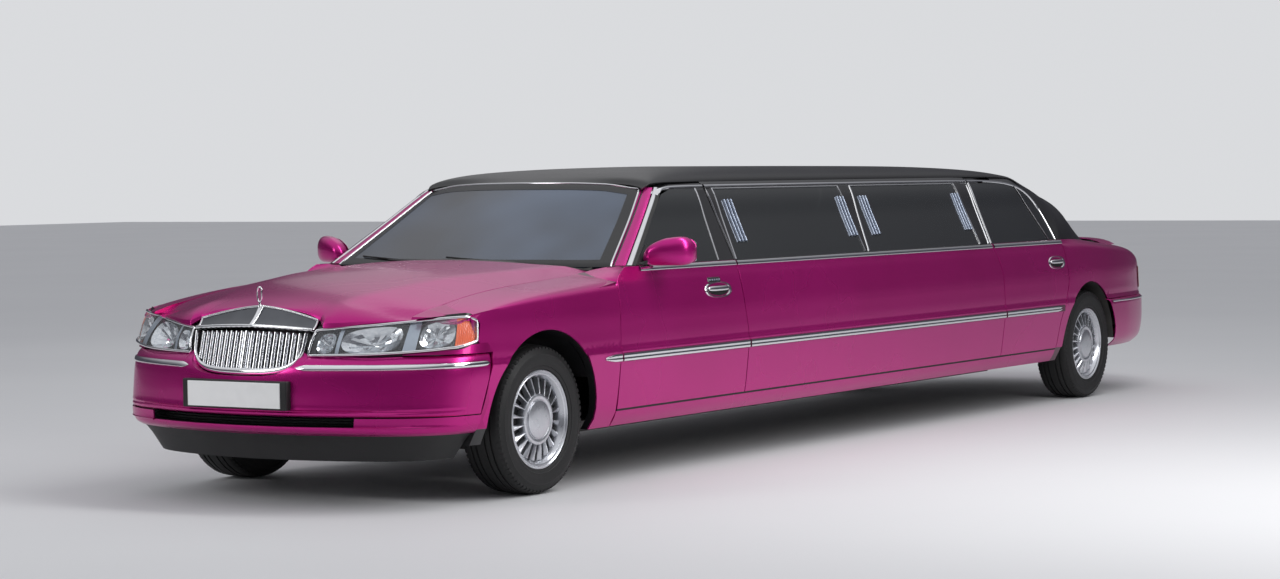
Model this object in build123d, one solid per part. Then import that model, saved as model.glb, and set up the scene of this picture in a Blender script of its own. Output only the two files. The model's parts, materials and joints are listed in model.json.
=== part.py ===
from build123d import *
import math
import os

os.makedirs("parts", exist_ok=True)

# Stretched saloon with a long cabin, in millimetres. X points to the car's left, Y to its rear and Z up.
# Every Y here is counted from the front axle. save() moves the pieces so that the car's middle is at Y 0.

# Overall sizes
WHEELBASE = 6038.0
FRONT_OVERHANG = 1040.0
REAR_OVERHANG = 1439.0
MID_Y = (WHEELBASE + REAR_OVERHANG - FRONT_OVERHANG) / 2
BELT_Z = 1000.0
SILL_Z = 262.0
DOOR_LOW_Z = 339.0
SHUT_GAP = 6.0

# Wall thicknesses
CABIN_WALL = 110.0
PILLAR_WALL = 45.0
WING_WALL = 38.0
LID_WALL = 30.0
GLASS_SETBACK = 6.0
GLASS_WALL = 6.0

# Wheels
TYRE_R = 338.0
TYRE_HALF_W = 112.0
RIM_R = 222.0
RIM_HALF_W = 99.0
BORE_R = 36.1
SPINDLE_R = 36.0
WHEEL_Z = 338.0
FRONT_WHEEL_X = 804.0
REAR_WHEEL_X = 820.0
VANES = 20

# Wheel arches, whose middles lie a little ahead of the wheels
FRONT_ARCH = (-30.0, 332.0, 412.0)
REAR_ARCH = (WHEELBASE - 52.0, 330.0, 402.0)
LINER_WALL = 6.0
LINER_IN_X = 478.0

# Joints
DOOR_HINGE_X = 996.0
FRONT_DOOR_Y = 557.0
REAR_DOOR_Y = 4712.0


def save(node, shape):
    """Moves a finished piece to the car's own frame and writes it."""
    placed = Pos(0, -MID_Y, 0) * shape
    solids = placed.solids()
    export_step(Compound(children=solids) if len(solids) > 1 else solids[0], f"parts/{node}.step")
    print(node, len(solids), round(sum(solid.volume for solid in solids) / 1e6, 2), "litres")


def both_sides(node, left):
    """Writes a left piece and its mirror image."""
    save(f"{node}_left", left)
    save(f"{node}_right", mirror(left, about=Plane.YZ))


def side_prism(points, x_low, x_high):
    """A block whose outline is drawn in the side view, as (y, z) points."""
    face = make_face(Polyline(*points, close=True))
    return extrude(Plane.YZ.offset(x_low) * face, x_high - x_low)


def front_prism(points, y_low, y_high):
    """A block whose outline is drawn in the front view, as (x, z) points."""
    plane = Plane(origin=(0, y_high, 0), x_dir=(1, 0, 0), z_dir=(0, -1, 0))
    return extrude(plane * make_face(Polyline(*points, close=True)), y_high - y_low)


def plan_prism(points, z_low, z_high):
    """A block whose outline is drawn from above, as (x, y) points."""
    return extrude(Plane.XY.offset(z_low) * make_face(Polyline(*points, close=True)), z_high - z_low)


def block(x_low, x_high, y_low, y_high, z_low, z_high):
    """A plain box between two corners."""
    middle = Pos((x_low + x_high) / 2, (y_low + y_high) / 2, (z_low + z_high) / 2)
    return middle * Box(x_high - x_low, y_high - y_low, z_high - z_low)


def cross_tube(radius, x_low, x_high, y, z):
    """A round bar that lies across the car."""
    bar = Plane.YZ.offset(x_low) * Pos(y, z) * Circle(radius)
    return extrude(bar, x_high - x_low)


def plan_outline(z, half, nose, tail, nose_depth=150.0, tail_depth=130.0):
    """The body's outline seen from above at one height: arcs at both ends and straight flanks."""
    nose_x = 0.70 * half
    tail_x = 0.74 * half
    left = [
        ThreePointArc((-nose_x, nose + nose_depth), (0, nose), (nose_x, nose + nose_depth)),
        ThreePointArc((nose_x, nose + nose_depth), (0.925 * half, nose + 330), (0.975 * half, nose + 560)),
        Polyline((0.975 * half, nose + 560), (half, nose + 1150)),
        Polyline((half, nose + 1150), (half, WHEELBASE - 400)),
        Polyline((half, WHEELBASE - 400), (0.958 * half, tail - 540)),
        ThreePointArc((0.958 * half, tail - 540), (0.90 * half, tail - 280), (tail_x, tail - tail_depth)),
        ThreePointArc((tail_x, tail - tail_depth), (0, tail), (-tail_x, tail - tail_depth)),
    ]
    right = [mirror(edge, about=Plane.YZ) for edge in left[1:6]]
    return Plane.XY.offset(z) * make_face(Curve() + left + right)


def stack(levels, inset=0.0):
    """A solid through the plan outlines at several heights, drawn in by the inset."""
    faces = [
        plan_outline(z, half - inset, nose + inset, tail - inset) for z, half, nose, tail in levels
    ]
    return loft(faces, ruled=True)


def under_crown(stations, inset=0.0, x_edge=1100.0):
    """The space below a crowned top, through cross sections whose upper side is one arc."""
    faces = []
    for y, z_middle, z_edge in stations:
        plane = Plane(origin=(0, y, 0), x_dir=(1, 0, 0), z_dir=(0, -1, 0))
        arc = ThreePointArc((-x_edge, z_edge - inset), (0, z_middle - inset), (x_edge, z_edge - inset))
        box = Polyline((x_edge, z_edge - inset), (x_edge, 0), (-x_edge, 0), (-x_edge, z_edge - inset))
        faces.append(plane * make_face(Curve() + [arc, box]))
    return loft(faces, ruled=True)


# Lower body, as plan outlines: height, half width, nose and tail
BODY_LEVELS = [
    (SILL_Z, 905, -930, 7390),
    (340, 945, -945, 7400),
    (450, 962, -955, 7410),
    (600, 978, -960, 7420),
    (665, 976, -960, 7420),
    (800, 968, -905, 7412),
    (945, 936, -848, 7385),
    (BELT_Z, 916, -825, 7365),
    (1060, 900, -800, 7330),
]
# Its top: place along the car, height in the middle and at the edge of the sections
BODY_CROWN = [
    (-1100, 830, 660),
    (-840, 874, 712),
    (-600, 925, 770),
    (-300, 966, 812),
    (0, 998, 832),
    (400, 1022, 868),
    (690, 1036, 912),
    (710, BELT_Z + 2, BELT_Z),
    (6285, BELT_Z + 2, BELT_Z),
    (6300, 1030, 945),
    (6605, 1008, 872),
    (6768, 996, 822),
    (7200, 962, 752),
    (7480, 905, 690),
]
# Cabin above the belt, as plan outlines: height, half width, windscreen and rear window in the middle
CABIN_LEVELS = [
    (BELT_Z, 914, 590, 6950),
    (1200, 803, 900, 6640),
    (1350, 720, 1125, 6130),
    (1385, 690, 1180, 5960),
    (1425, 640, 1262, 5700),
    (1490, 560, 1400, 5300),
]
# Roof: place along the car, height in the middle and at the edge of the sections
ROOF_CROWN = [
    (500, 1330, 1160),
    (1190, 1402, 1232),
    (1517, 1455, 1285),
    (2300, 1473, 1303),
    (4260, 1467, 1297),
    (5400, 1448, 1278),
    (5900, 1395, 1225),
    (6600, 1250, 1080),
    (7100, 1140, 970),
]


def cabin_outline(z, half, front, rear):
    """The cabin's plan outline: a bowed windscreen, straight flanks, tapered quarters, bowed rear window."""
    front_x = 0.9 * half
    left = [
        ThreePointArc((-front_x, front + 150), (0, front), (front_x, front + 150)),
        Polyline((front_x, front + 150), (half, front + 195)),
        Polyline((half, front + 195), (half, 4600)),
        Polyline((half, 4600), (0.99 * half, 4900)),
        Polyline((0.99 * half, 4900), (0.76 * half, rear - 170)),
        ThreePointArc((0.76 * half, rear - 170), (0, rear), (-0.76 * half, rear - 170)),
    ]
    right = [mirror(edge, about=Plane.YZ) for edge in left[1:5]]
    return Plane.XY.offset(z) * make_face(Curve() + left + right)


def cabin(inset=0.0):
    """The whole upper cabin as one block, drawn in by the inset."""
    faces = [
        cabin_outline(z, half - inset, front + 1.7 * inset, rear - 1.7 * inset)
        for z, half, front, rear in CABIN_LEVELS
    ]
    return loft(faces, ruled=True) & under_crown(ROOF_CROWN, inset)


def lower(inset=0.0):
    """The whole lower body as one block, drawn in by the inset but not at its open bottom."""
    return stack(BODY_LEVELS, inset) & under_crown(BODY_CROWN, inset)


lower_skin = lower()
cabin_skin = cabin()
end_shell = lower_skin - lower(WING_WALL)
room = stack(BODY_LEVELS, CABIN_WALL)
cabin_shell = cabin_skin - cabin(PILLAR_WALL)
glass_shell = cabin(GLASS_SETBACK) - cabin(GLASS_SETBACK + GLASS_WALL)


def grow(points, by):
    """A side-view outline with every edge moved outwards."""
    face = offset(make_face(Polyline(*points, close=True)), by, kind=Kind.INTERSECTION)
    return extrude(Plane.YZ.offset(300) * face, 900)


# Side outlines as (y, z)
FRONT_DOOR = [
    (FRONT_DOOR_Y + 5, DOOR_LOW_Z), (FRONT_DOOR_Y, 610), (FRONT_DOOR_Y + 12, 800), (FRONT_DOOR_Y + 35, 940),
    (690, 1012), (1190, 1345), (1235, 1374), (1745, 1384), (1700, 1000), (1700, 830), (1726, 640),
    (1730, DOOR_LOW_Z),
]
REAR_DOOR = [
    (REAR_DOOR_Y, DOOR_LOW_Z), (REAR_DOOR_Y + 5, 800), (4700, 900), (4655, 1000), (4765, 1384), (5370, 1380),
    (5560, 1300), (5625, 1180), (5640, 1000), (5640, 760), (5590, 640), (5520, 500), (5490, DOOR_LOW_Z),
]
# Glass openings, as (y, z): front door, the two long windows, rear door
FRONT_WINDOW = [(760, 1022), (1235, 1335), (1265, 1350), (1652, 1356), (1548, 1008), (790, 1008)]
LONG_WINDOWS = [
    [(1735, 1008), (1828, 1352), (3139, 1352), (3095, 1008)],
    [(3150, 1008), (3290, 1352), (4561, 1352), (4520, 1008)],
]
REAR_WINDOW = [
    (4685, 1008), (4790, 1356), (5330, 1352), (5480, 1315), (5560, 1250), (5590, 1150), (5600, 1008),
]

# Moulding along the flanks
MOULDING_Z = (566, 604)
MOULDING_X = 992.0


def moulding(y_low, y_high):
    """A strip of the side moulding, half sunk in the panel."""
    return block(950, MOULDING_X, y_low, y_high, *MOULDING_Z)


# Floor with its frame rails, bulkheads and boot floor
FRAME_X = 430.0
floor_pan = block(-860, 860, 470, 5540, SILL_Z, 290) & stack(BODY_LEVELS, CABIN_WALL + 2)
floor = floor_pan + block(-700, 700, 440, 470, SILL_Z, 905)
floor += block(-640, 640, 5540, 5600, SILL_Z, 560) + block(-640, 640, 5600, 6560, 530, 560)
floor += block(-640, 640, 6560, 6600, 400, 560) + block(-640, 640, 6560, 7250, 400, 425)
for side in (-1, 1):
    x_low = min(side * FRAME_X, side * (FRAME_X - 80))
    floor += block(x_low, x_low + 80, -840, 470, 330, 430)
    floor += block(x_low, x_low + 80, 400, 5600, 180, SILL_Z)
    floor += block(x_low, x_low + 80, 400, 470, 180, 430)
    floor += block(x_low, x_low + 80, 5560, 5620, 180, 560)
    floor += block(x_low, x_low + 80, 5560, 6598, 500, 560)
    floor += block(x_low, x_low + 80, 6560, 7320, 340, 425)
floor += block(-FRAME_X, FRAME_X, -790, -750, 330, 640)
for y in (1400, 2400, 3400, 4400):
    floor += block(-FRAME_X, FRAME_X, y, y + 60, 236, SILL_Z)
floor += block(-640, 640, 6560, 6585, 420, 950) + block(-640, 640, 6560, 6979, 930, 962)
floor += (end_shell & block(-704, 704, 6860, 6979, 930, 1100)) - cabin_skin
BONNET_REAR = [(726, 684), (500, 584), (0, 532), (-500, 584), (-726, 684)]
cowl = end_shell & plan_prism([(x, y + 8) for x, y in BONNET_REAR] + [(-726, 760), (726, 760)], 900, 1100)
floor += cowl - cabin_skin
floor += block(-600, 600, 440, 600, 880, 905) + block(-600, 600, 585, 600, 880, 944)
floor += block(-300, 300, 572, 588, 895, 990)
save("floor", floor)

# Front wings with their arch liners
arch_y, arch_z, arch_r = FRONT_ARCH
bumper_edge = [(-1200, 0), (-505, 0), (-505, 334), (-432, 610), (-425, 668), (-1200, 668)]
lamp_outline = [
    (338, 664), (620, 666), (850, 688), (960, 722), (972, 770), (955, 812), (905, 830), (860, 829),
    (640, 800), (350, 776),
]
lamp_prism = front_prism(lamp_outline, -1200, -470)
lamp_gap = front_prism(
    [(330, 658), (621, 660), (852, 682), (965, 716), (978, 770), (960, 817), (907, 836), (860, 835),
     (640, 806), (342, 782)], -1200, -464)
GRILLE_HALF = 330.0
nose_keep = block(-GRILLE_HALF - 3, GRILLE_HALF + 3, -1200, -800, 560, 900)
wing = end_shell & block(734, 1100, -1200, FRONT_DOOR_Y + 200, 0, 1100)
wing -= grow(FRONT_DOOR, SHUT_GAP)
wing -= side_prism(bumper_edge, 0, 1200)
wing -= lamp_gap
wing -= block(0, 1200, 611, 1200, 0, 345)
wing -= side_prism([(560, 300), (1200, 300), (1200, 1100), (786, 1100), (690, 1003), (690, 960), (560, 940)],
                   0, 872)
wing -= cabin_skin
wing -= cross_tube(arch_r, 0, 1200, arch_y, arch_z)
liner = cross_tube(arch_r + LINER_WALL, LINER_IN_X, 932, arch_y, arch_z)
liner -= cross_tube(arch_r, LINER_IN_X + LINER_WALL, 1100, arch_y, arch_z)
liner -= block(0, 1200, -2000, 2000, 0, 506)
liner -= block(0, 1200, -2000, -422, 0, 1000)
wing += liner & lower(2)
both_sides("front_wing", wing)

# Side panels: the long flank between the doors, with the sill under all of it
flank = lower_skin - room
flank &= block(500, 1100, 617, 5575, 0, BELT_Z)
flank -= grow(FRONT_DOOR, SHUT_GAP) + grow(REAR_DOOR, SHUT_GAP)
flank -= block(0, 1200, 5480, 6000, 345, 1200)
flank -= side_prism([(560, 345), (700, 345), (700, 1100), (560, 1100)], 0, 1200)
flank -= cross_tube(arch_r + 8, 0, 1200, arch_y, arch_z)
rear_y, rear_z, rear_r = REAR_ARCH
flank -= cross_tube(rear_r + 8, 0, 1200, rear_y, rear_z)
flank += moulding(1726 + SHUT_GAP + 4, REAR_DOOR_Y - SHUT_GAP - 2)
both_sides("side_panel", flank)

# Rear quarters
quarter = end_shell & block(500, 1100, 5400, 7480, 0, 1100)
quarter -= grow(REAR_DOOR, SHUT_GAP)
quarter -= block(0, 1200, 5000, 5486, 0, 1200) + block(0, 1200, 5000, 5700, 0, 345)
quarter -= cross_tube(rear_r, 0, 1200, rear_y, rear_z)
quarter -= block(0, 1200, 6250, 8000, 0, 612)
BOOT_HALF = 700.0
BOOT_FRONT_Y = 6985.0
quarter -= block(0, BOOT_HALF + SHUT_GAP, 6400, 8000, 560, 1200)
quarter -= cabin_skin
wheelhouse = cross_tube(rear_r + LINER_WALL, 650, 932, rear_y, rear_z)
wheelhouse -= cross_tube(rear_r, 650 + LINER_WALL, 1100, rear_y, rear_z)
wheelhouse -= block(0, 1200, 5000, 7000, 0, 560)
quarter += wheelhouse & lower(2)

# Roof with its pillars, cut for all glass and for the door frames
SCREEN = [
    (-772, 1008), (772, 1008), (600, 1346), (450, 1366), (200, 1382), (-200, 1382), (-450, 1366), (-600, 1346),
]
BACK_SCREEN = [(-655, 1012), (655, 1012), (520, 1280), (300, 1340), (-300, 1340), (-520, 1280)]


def scaled(points, by):
    """An outline drawn in around the middle of the glass, by about the given width."""
    return [(x - math.copysign(by, x), z + (by if z < 1100 else -by)) for x, z in points]


# What lies outboard of the windscreen pillars
PILLAR_EDGE = [(822, BELT_Z - 1), (650, 1348), (590, 1450)]
beside_pillar = front_prism([(1100, 0), (300, 0), (300, BELT_Z - 1)] + PILLAR_EDGE + [(1100, 1450)], 0, 7000)
beside_pillar_grown = Pos(-SHUT_GAP, 0, 0) * beside_pillar

roof = cabin_shell
roof -= front_prism(SCREEN, 0, 2400)
roof -= front_prism(BACK_SCREEN, 5000, 8000)
for outline in (FRONT_DOOR, REAR_DOOR):
    cut = grow(outline, SHUT_GAP) & beside_pillar_grown
    roof -= cut + mirror(cut, about=Plane.YZ)
for outline in LONG_WINDOWS:
    cut = side_prism(outline, 300, 1200)
    roof -= cut + mirror(cut, about=Plane.YZ)
save("roof", roof)

# Fixed glass
save("windscreen", glass_shell & front_prism(scaled(SCREEN, 1), 0, 2400))
save("rear_window", glass_shell & front_prism(scaled(BACK_SCREEN, 1), 5000, 8000))
band = [(1738, 1010), (1830, 1350), (4558, 1350), (4517, 1010)]
strip = cabin(PILLAR_WALL + 1) - cabin(PILLAR_WALL + 1 + GLASS_WALL)
both_sides("side_glass", strip & side_prism(band, 300, 1200))

# The rear edge of each door, which leans forward inside so that it swings clear: x, y, z and lean
FRONT_DOOR_EDGE = [
    (985, 1730, 330, 0.15), (982, 1726, 640, 0.15), (972, 1700, 830, 0.15), (918, 1700, 1000, 0.3),
    (694, 1745, 1390, 0.35),
]
REAR_DOOR_EDGE = [
    (985, 5486, 330, 0.2), (985, 5520, 500, 0.2), (982, 5590, 640, 0.2), (975, 5640, 760, 0.2),
    (916, 5640, 1000, 0.25), (790, 5625, 1180, 0.45), (712, 5560, 1300, 0.55), (680, 5370, 1384, 0.6),
]


def behind_edge(edge):
    """The space behind a door's rear edge, leaning forward towards the inside."""
    faces = []
    for x, y, z, lean in edge:
        corners = [(x + 10, y), (x + 10, y + 90), (x - 150, y + 90), (x - 150, y - 150 * lean)]
        faces.append(Plane.XY.offset(z) * make_face(Polyline(*corners, (x, y), close=True)))
    return loft(faces, ruled=True)


# Doors with their frames and glass
for node, outline, window, low, high, edge in (
    ("front_door", FRONT_DOOR, FRONT_WINDOW, FRONT_DOOR_Y + 8, 1722, FRONT_DOOR_EDGE),
    ("rear_door", REAR_DOOR, REAR_WINDOW, REAR_DOOR_Y + 8, 5545, REAR_DOOR_EDGE),
):
    cut = side_prism(outline, 300, 1200) & beside_pillar
    door = ((lower_skin - room) & cut & block(300, 1100, 0, 7000, 0, BELT_Z + 1)) + (cabin_shell & cut)
    door -= side_prism(window, 300, 1200) & Pos(20, 0, 0) * beside_pillar
    door = door - behind_edge(edge) + moulding(low, high)
    both_sides(node, door)
    pane = glass_shell & side_prism(window, 300, 1200) & Pos(20, 0, 0) * beside_pillar
    both_sides(f"{node}_glass", pane - block(0, 1200, 0, 8000, 0, 1008.5))
    if node == "front_door":
        front_door = door

# Door mirrors
head = Pos(1032, 742, 1068) * fillet(Box(200, 92, 126).edges(), 38)
stalk = block(880, 960, 724, 786, 1001, 1040)
both_sides("door_mirror", (head + stalk) - front_door - cabin(-2))

# Bonnet and boot lid
bonnet = end_shell & plan_prism([(-726, -1200), (726, -1200)] + BONNET_REAR, 770, 1100)
bonnet -= lamp_gap + mirror(lamp_gap, about=Plane.YZ)
bonnet -= side_prism([(-1200, 1000), (-826, 1000), (-826, 862), (-812, 700), (-1200, 700)], -334, 334)
save("bonnet", bonnet)
lid = end_shell & block(-BOOT_HALF, BOOT_HALF, BOOT_FRONT_Y, 7600, 622, 1100)
save("boot_lid", lid)

# Bumpers: height, half width and nose or tail
FRONT_BUMPER = [
    (200, 820, -915), (322, 925, -975), (334, 940, -1000), (361, 950, -1020), (500, 966, -1030),
    (590, 972, -1022), (640, 968, -995), (662, 960, -962),
]
REAR_BUMPER = [
    (300, 900, 7380), (340, 948, 7432), (372, 962, 7450), (480, 974, 7477), (590, 974, 7472), (606, 968, 7455),
]
TRIM_GAP = 3.0
levels = [(z, half, nose, 7400) for z, half, nose in FRONT_BUMPER]
bumper = stack(levels) - (stack(levels, 42) & block(-1100, 1100, -1200, 0, 100, 626)) - stack(levels, 125)
bumper &= side_prism([(-1200, 0), (-512, 0), (-512, 334), (-439, 610), (-434, 662), (-1200, 662)], -1200, 1200)
bumper -= block(-545, 545, -1200, -850, 366, 404)
bumper -= block(-GRILLE_HALF - TRIM_GAP, GRILLE_HALF + TRIM_GAP, -1200, -800, 572, 700)
bumper += block(-285, 285, -1036, -985, 436, 556) + block(-260, 260, -1040, -1030, 441, 551)
for x_low in (-FRAME_X, FRAME_X - 80):
    bumper += block(x_low, x_low + 80, -980, -841, 350, 430)
save("front_bumper", bumper)
levels = [(z, half, -800, tail) for z, half, tail in REAR_BUMPER]
bumper = stack(levels) - (stack(levels, 42) & block(-1100, 1100, 5000, 8000, 100, 575)) - stack(levels, 125)
bumper &= block(-1100, 1100, 6300, 8000, 0, 700)
arch = cross_tube(rear_r + 8, 0, 1200, rear_y, rear_z)
bumper -= arch + mirror(arch, about=Plane.YZ)
save("rear_bumper", bumper)

# Grille: a leaning D-shaped surround, upright bars and a peaked cap
GRILLE_LEAN = 14.0
GRILLE_FOOT = (-988.0, 578.0)
GRILLE_BOW = 45.0
GRILLE_BARS = 9
grille_d = [
    (0, 0), (120, 4), (215, 20), (285, 58), (315, 118), (318, 196), (-318, 196), (-315, 118), (-285, 58),
    (-215, 20), (-120, 4),
]


def bowed(depth, front=0.0, half=GRILLE_HALF + 20):
    """A slab that bows forwards in the middle, seen from above."""
    near = ThreePointArc((-half, front + GRILLE_BOW), (0, front), (half, front + GRILLE_BOW))
    back = front + depth
    far = ThreePointArc((-half, back + GRILLE_BOW), (0, back), (half, back + GRILLE_BOW))
    ends = [Line(near @ 0, far @ 0), Line(near @ 1, far @ 1)]
    return extrude(Plane.XY.offset(-50) * make_face(Curve() + [near, far] + ends), 400)


shape = front_prism(grille_d, -20, 200)
inner = offset(make_face(Polyline(*grille_d, close=True)), -15, kind=Kind.INTERSECTION)
inner = extrude(Plane(origin=(0, 200, 0), x_dir=(1, 0, 0), z_dir=(0, -1, 0)) * inner, 220)
grille = (shape - inner) & bowed(46)
grille += shape & bowed(6, 40)
for index in range(-GRILLE_BARS, GRILLE_BARS + 1):
    half = 11 if index == 0 else 7
    x = index * 30.5
    y = GRILLE_BOW * (x / (GRILLE_HALF + 20)) ** 2
    grille += block(x - half, x + half, y + 2, y + 44, 0, 196) & shape
grille = Pos(0, *GRILLE_FOOT) * Rot(-GRILLE_LEAN, 0, 0) * grille
cap = side_prism([(-930, 760), (-916, 790), (-838, 868), (-832, 868), (-832, 760)], -328, 328)
cap &= front_prism([(-328, 760), (328, 760), (328, 800), (200, 838), (0, 869), (-200, 838), (-328, 800)], -1000, -700)
cap &= Pos(0, -918, 700) * bowed(140)
save("grille", grille + cap)

# Headlamps and tail lamps
lamp = lamp_prism & (lower_skin - lower(110))
lamp &= plan_prism([(338, -1200), (1000, -1200), (1000, -440), (640, -640), (338, -760)], 600, 900)
both_sides("headlamp", lamp)
tail_outline = [(716, 700), (960, 700), (960, 862), (940, 880), (716, 892)]
lamp = front_prism(tail_outline, 7080, 7500) & (lower_skin - lower(90))
both_sides("tail_lamp", lamp)
cut = front_prism([(711, 695), (970, 695), (970, 870), (942, 886), (711, 898)], 7074, 7500)
both_sides("rear_quarter", quarter - cut)

# Wheels and tyres, turned about X with Y as the radius in the outline
rim_outline = [
    (-99, 224), (-94, 224), (-90, 208), (-70, 198), (60, 198), (86, 208), (94, 224), (99, 224), (99, 208),
    (88, 196), (82, 192), (78, 150), (86, 140), (86, 102), (93, 98), (98, 60), (100, 0), (70, 0),
    (70, BORE_R), (-20, BORE_R), (-20, 70), (52, 76), (60, 140), (62, 188), (-60, 188), (-84, 198), (-99, 214),
]
rim = revolve(make_face(Polyline(*rim_outline, close=True)), Axis.X)
for index in range(VANES):
    slot = Pos(88, 0, 167) * Box(56, 27, 36)
    rim -= Rot(index * 360 / VANES, 0, 0) * slot
tyre_side = ThreePointArc((102, 230), (TYRE_HALF_W, 276), (94, 327))
tyre_tread = ThreePointArc((94, 327), (0, TYRE_R), (-94, 327))
tyre_in = Polyline((-102, 230), (-84, 227), (-84, 209), (-68, 201), (58, 201), (82, 211), (84, 227), (102, 230))
tyre_face = make_face(Curve() + [tyre_side, tyre_tread, mirror(tyre_side, about=Plane.YZ), tyre_in])
tyre = revolve(tyre_face, Axis.X)
for node, x, y in (("front", FRONT_WHEEL_X, 0), ("rear", REAR_WHEEL_X, WHEELBASE)):
    both_sides(f"{node}_wheel", Pos(x, y, WHEEL_Z) * rim)
    both_sides(f"{node}_tyre", Pos(x, y, WHEEL_Z) * tyre)

# Front suspension, knuckles and rear axle
KINGPIN_X = 740.0
KINGPIN_R = 11.0
arms = block(-470, 470, -110, 110, 205, 290)
knuckle = cross_tube(SPINDLE_R, 704, 860, 0, WHEEL_Z) + cross_tube(116, 702, 712, 0, WHEEL_Z)
knuckle += block(696, 714, -32, 32, 220, 470)
knuckle += block(700, 758, -30, 30, 222, 242) + block(700, 758, -26, 26, 452, 470)
knuckle += block(690, 712, 20, 150, 240, 262)
for side in (-1, 1):
    x_low, x_high = sorted((side * 440, side * 756))
    arms += block(x_low, x_high, -34, 34, 190, 214)
    x_low, x_high = sorted((side * 440, side * 470))
    arms += block(x_low, x_high, -60, 60, 205, 500)
    x_low, x_high = sorted((side * 440, side * 756))
    arms += block(x_low, x_high, -22, 22, 478, 500)
    pin = Pos(side * KINGPIN_X, 0, 210) * Cylinder(KINGPIN_R, 11.5, align=(Align.CENTER, Align.CENTER, Align.MIN))
    arms += pin + Pos(0, 0, 260.5) * pin
save("front_suspension", arms - block(-FRAME_X - 1, FRAME_X + 1, -900, 470, 329, 431))
both_sides("knuckle", knuckle)


def rod(start, end, radius):
    """A round bar between two points, with a slightly fatter ball at each end."""
    length = math.dist(start, end)
    plane = Plane(origin=start, z_dir=Vector(*end) - Vector(*start))
    bar = extrude(plane * Circle(radius), length)
    return bar + Pos(*start) * Sphere(radius + 3) + Pos(*end) * Sphere(radius + 3)


axle = cross_tube(38, -850, 850, WHEELBASE, WHEEL_Z) + Pos(0, WHEELBASE, WHEEL_Z) * Sphere(130)
axle = axle - cross_tube(60, 716, 900, WHEELBASE, WHEEL_Z) - cross_tube(60, -900, -716, WHEELBASE, WHEEL_Z)
axle += cross_tube(SPINDLE_R, -880, 880, WHEELBASE, WHEEL_Z)
for side in (-1, 1):
    spring = Cylinder(50, 140, align=(Align.CENTER, Align.CENTER, Align.MIN))
    axle += Pos(side * (FRAME_X - 40), WHEELBASE, 360) * spring
axle += rod((0, WHEELBASE, WHEEL_Z), (0, 5620, 195), 34) + rod((0, 5620, 195), (0, 560, 195), 34)
save("rear_axle", axle - block(-FRAME_X, FRAME_X, 5000, 7000, 500, 700))
pipe_points = [
    (240, 560, 200), (240, 4600, 200), (240, 5630, 205), (240, 5770, 455), (240, 6290, 455), (240, 6440, 320),
    (240, 7290, 300),
]
pipe = rod(pipe_points[0], pipe_points[1], 26)
for start, end in zip(pipe_points[1:], pipe_points[2:]):
    pipe += rod(start, end, 26)
pipe += block(150, 330, 4600, 5200, 170, 232)
save("exhaust", pipe)
engine = block(-270, 270, -600, 260, 291, 800) + block(-150, 150, 260, 430, 230, 520)
save("engine", engine - block(-480, 480, -120, 120, 0, 291))

# Cabin furniture
dash = side_prism([(650, 700), (650, 925), (880, 950), (1000, 900), (1000, 760), (900, 690)], -690, 690)
dash += block(-560, 560, 600, 650, 890, 925)
ring = Pos(380, 1120, 860) * Rot(-64, 0, 0) * (Cylinder(194, 26) - Cylinder(168, 40))
hub = Pos(380, 1120, 860) * Rot(-64, 0, 0) * (Cylinder(50, 36) + Box(360, 34, 14))
save("dashboard", dash + ring + hub + rod((380, 980, 800), (380, 1112, 858), 24))
seat_side = [(1290, 291), (1290, 520), (1760, 480), (1900, 960), (1990, 950), (1860, 470), (1800, 291)]
seat = side_prism(seat_side, -660, 660)
save("front_seat", fillet(seat.edges().filter_by(Axis.X), 18))
bench_side = [(4980, 291), (4980, 480), (5330, 455), (5440, 900), (5530, 900), (5470, 420), (5460, 291)]
bench = side_prism(bench_side, -800, 800)
side_bench = front_prism([(-800, 291), (-300, 291), (-300, 480), (-660, 455), (-740, 900), (-800, 900)], 2150, 5000)
save("lounge_seat", bench + side_bench)
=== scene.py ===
import json
import math
import bmesh
import bpy
from mathutils import Matrix, Vector


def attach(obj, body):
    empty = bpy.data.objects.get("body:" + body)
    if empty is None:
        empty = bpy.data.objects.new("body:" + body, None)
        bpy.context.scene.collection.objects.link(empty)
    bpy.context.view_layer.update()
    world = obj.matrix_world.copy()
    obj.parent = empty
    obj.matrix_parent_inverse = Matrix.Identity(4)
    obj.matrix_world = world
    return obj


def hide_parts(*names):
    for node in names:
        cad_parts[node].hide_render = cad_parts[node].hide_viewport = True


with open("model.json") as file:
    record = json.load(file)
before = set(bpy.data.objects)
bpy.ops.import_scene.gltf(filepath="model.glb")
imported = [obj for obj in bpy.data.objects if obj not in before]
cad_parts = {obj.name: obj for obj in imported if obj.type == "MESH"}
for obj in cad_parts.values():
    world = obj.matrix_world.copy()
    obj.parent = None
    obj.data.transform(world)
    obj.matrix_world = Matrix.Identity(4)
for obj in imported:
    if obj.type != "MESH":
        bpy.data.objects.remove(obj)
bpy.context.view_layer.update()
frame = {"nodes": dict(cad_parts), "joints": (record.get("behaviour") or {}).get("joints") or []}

# Viewpoint. A long lens stands off the car's left front corner, a little under roof height, so that the
# grille, the left flank and a thin slice of the roof show as they do beside a kerb.
PHOTO_WIDTH = 1280
PHOTO_HEIGHT = 579
FOCAL_PIXELS = 2835.2
HORIZON_PIXEL = 287.4
SENSOR = 36.0
LENS_REACH = 200
CAMERA_PLACE = (8.097, -13.674, 1.429)
yaw, pitch, roll = 0.5669, 0.0397, -0.0118
ahead = Vector((-math.sin(yaw) * math.cos(pitch), math.cos(yaw) * math.cos(pitch), -math.sin(pitch)))
level_right = ahead.cross(Vector((0, 0, 1))).normalized()
level_up = level_right.cross(ahead)
right = math.cos(roll) * level_right + math.sin(roll) * level_up
up = math.cos(roll) * level_up - math.sin(roll) * level_right
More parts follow.
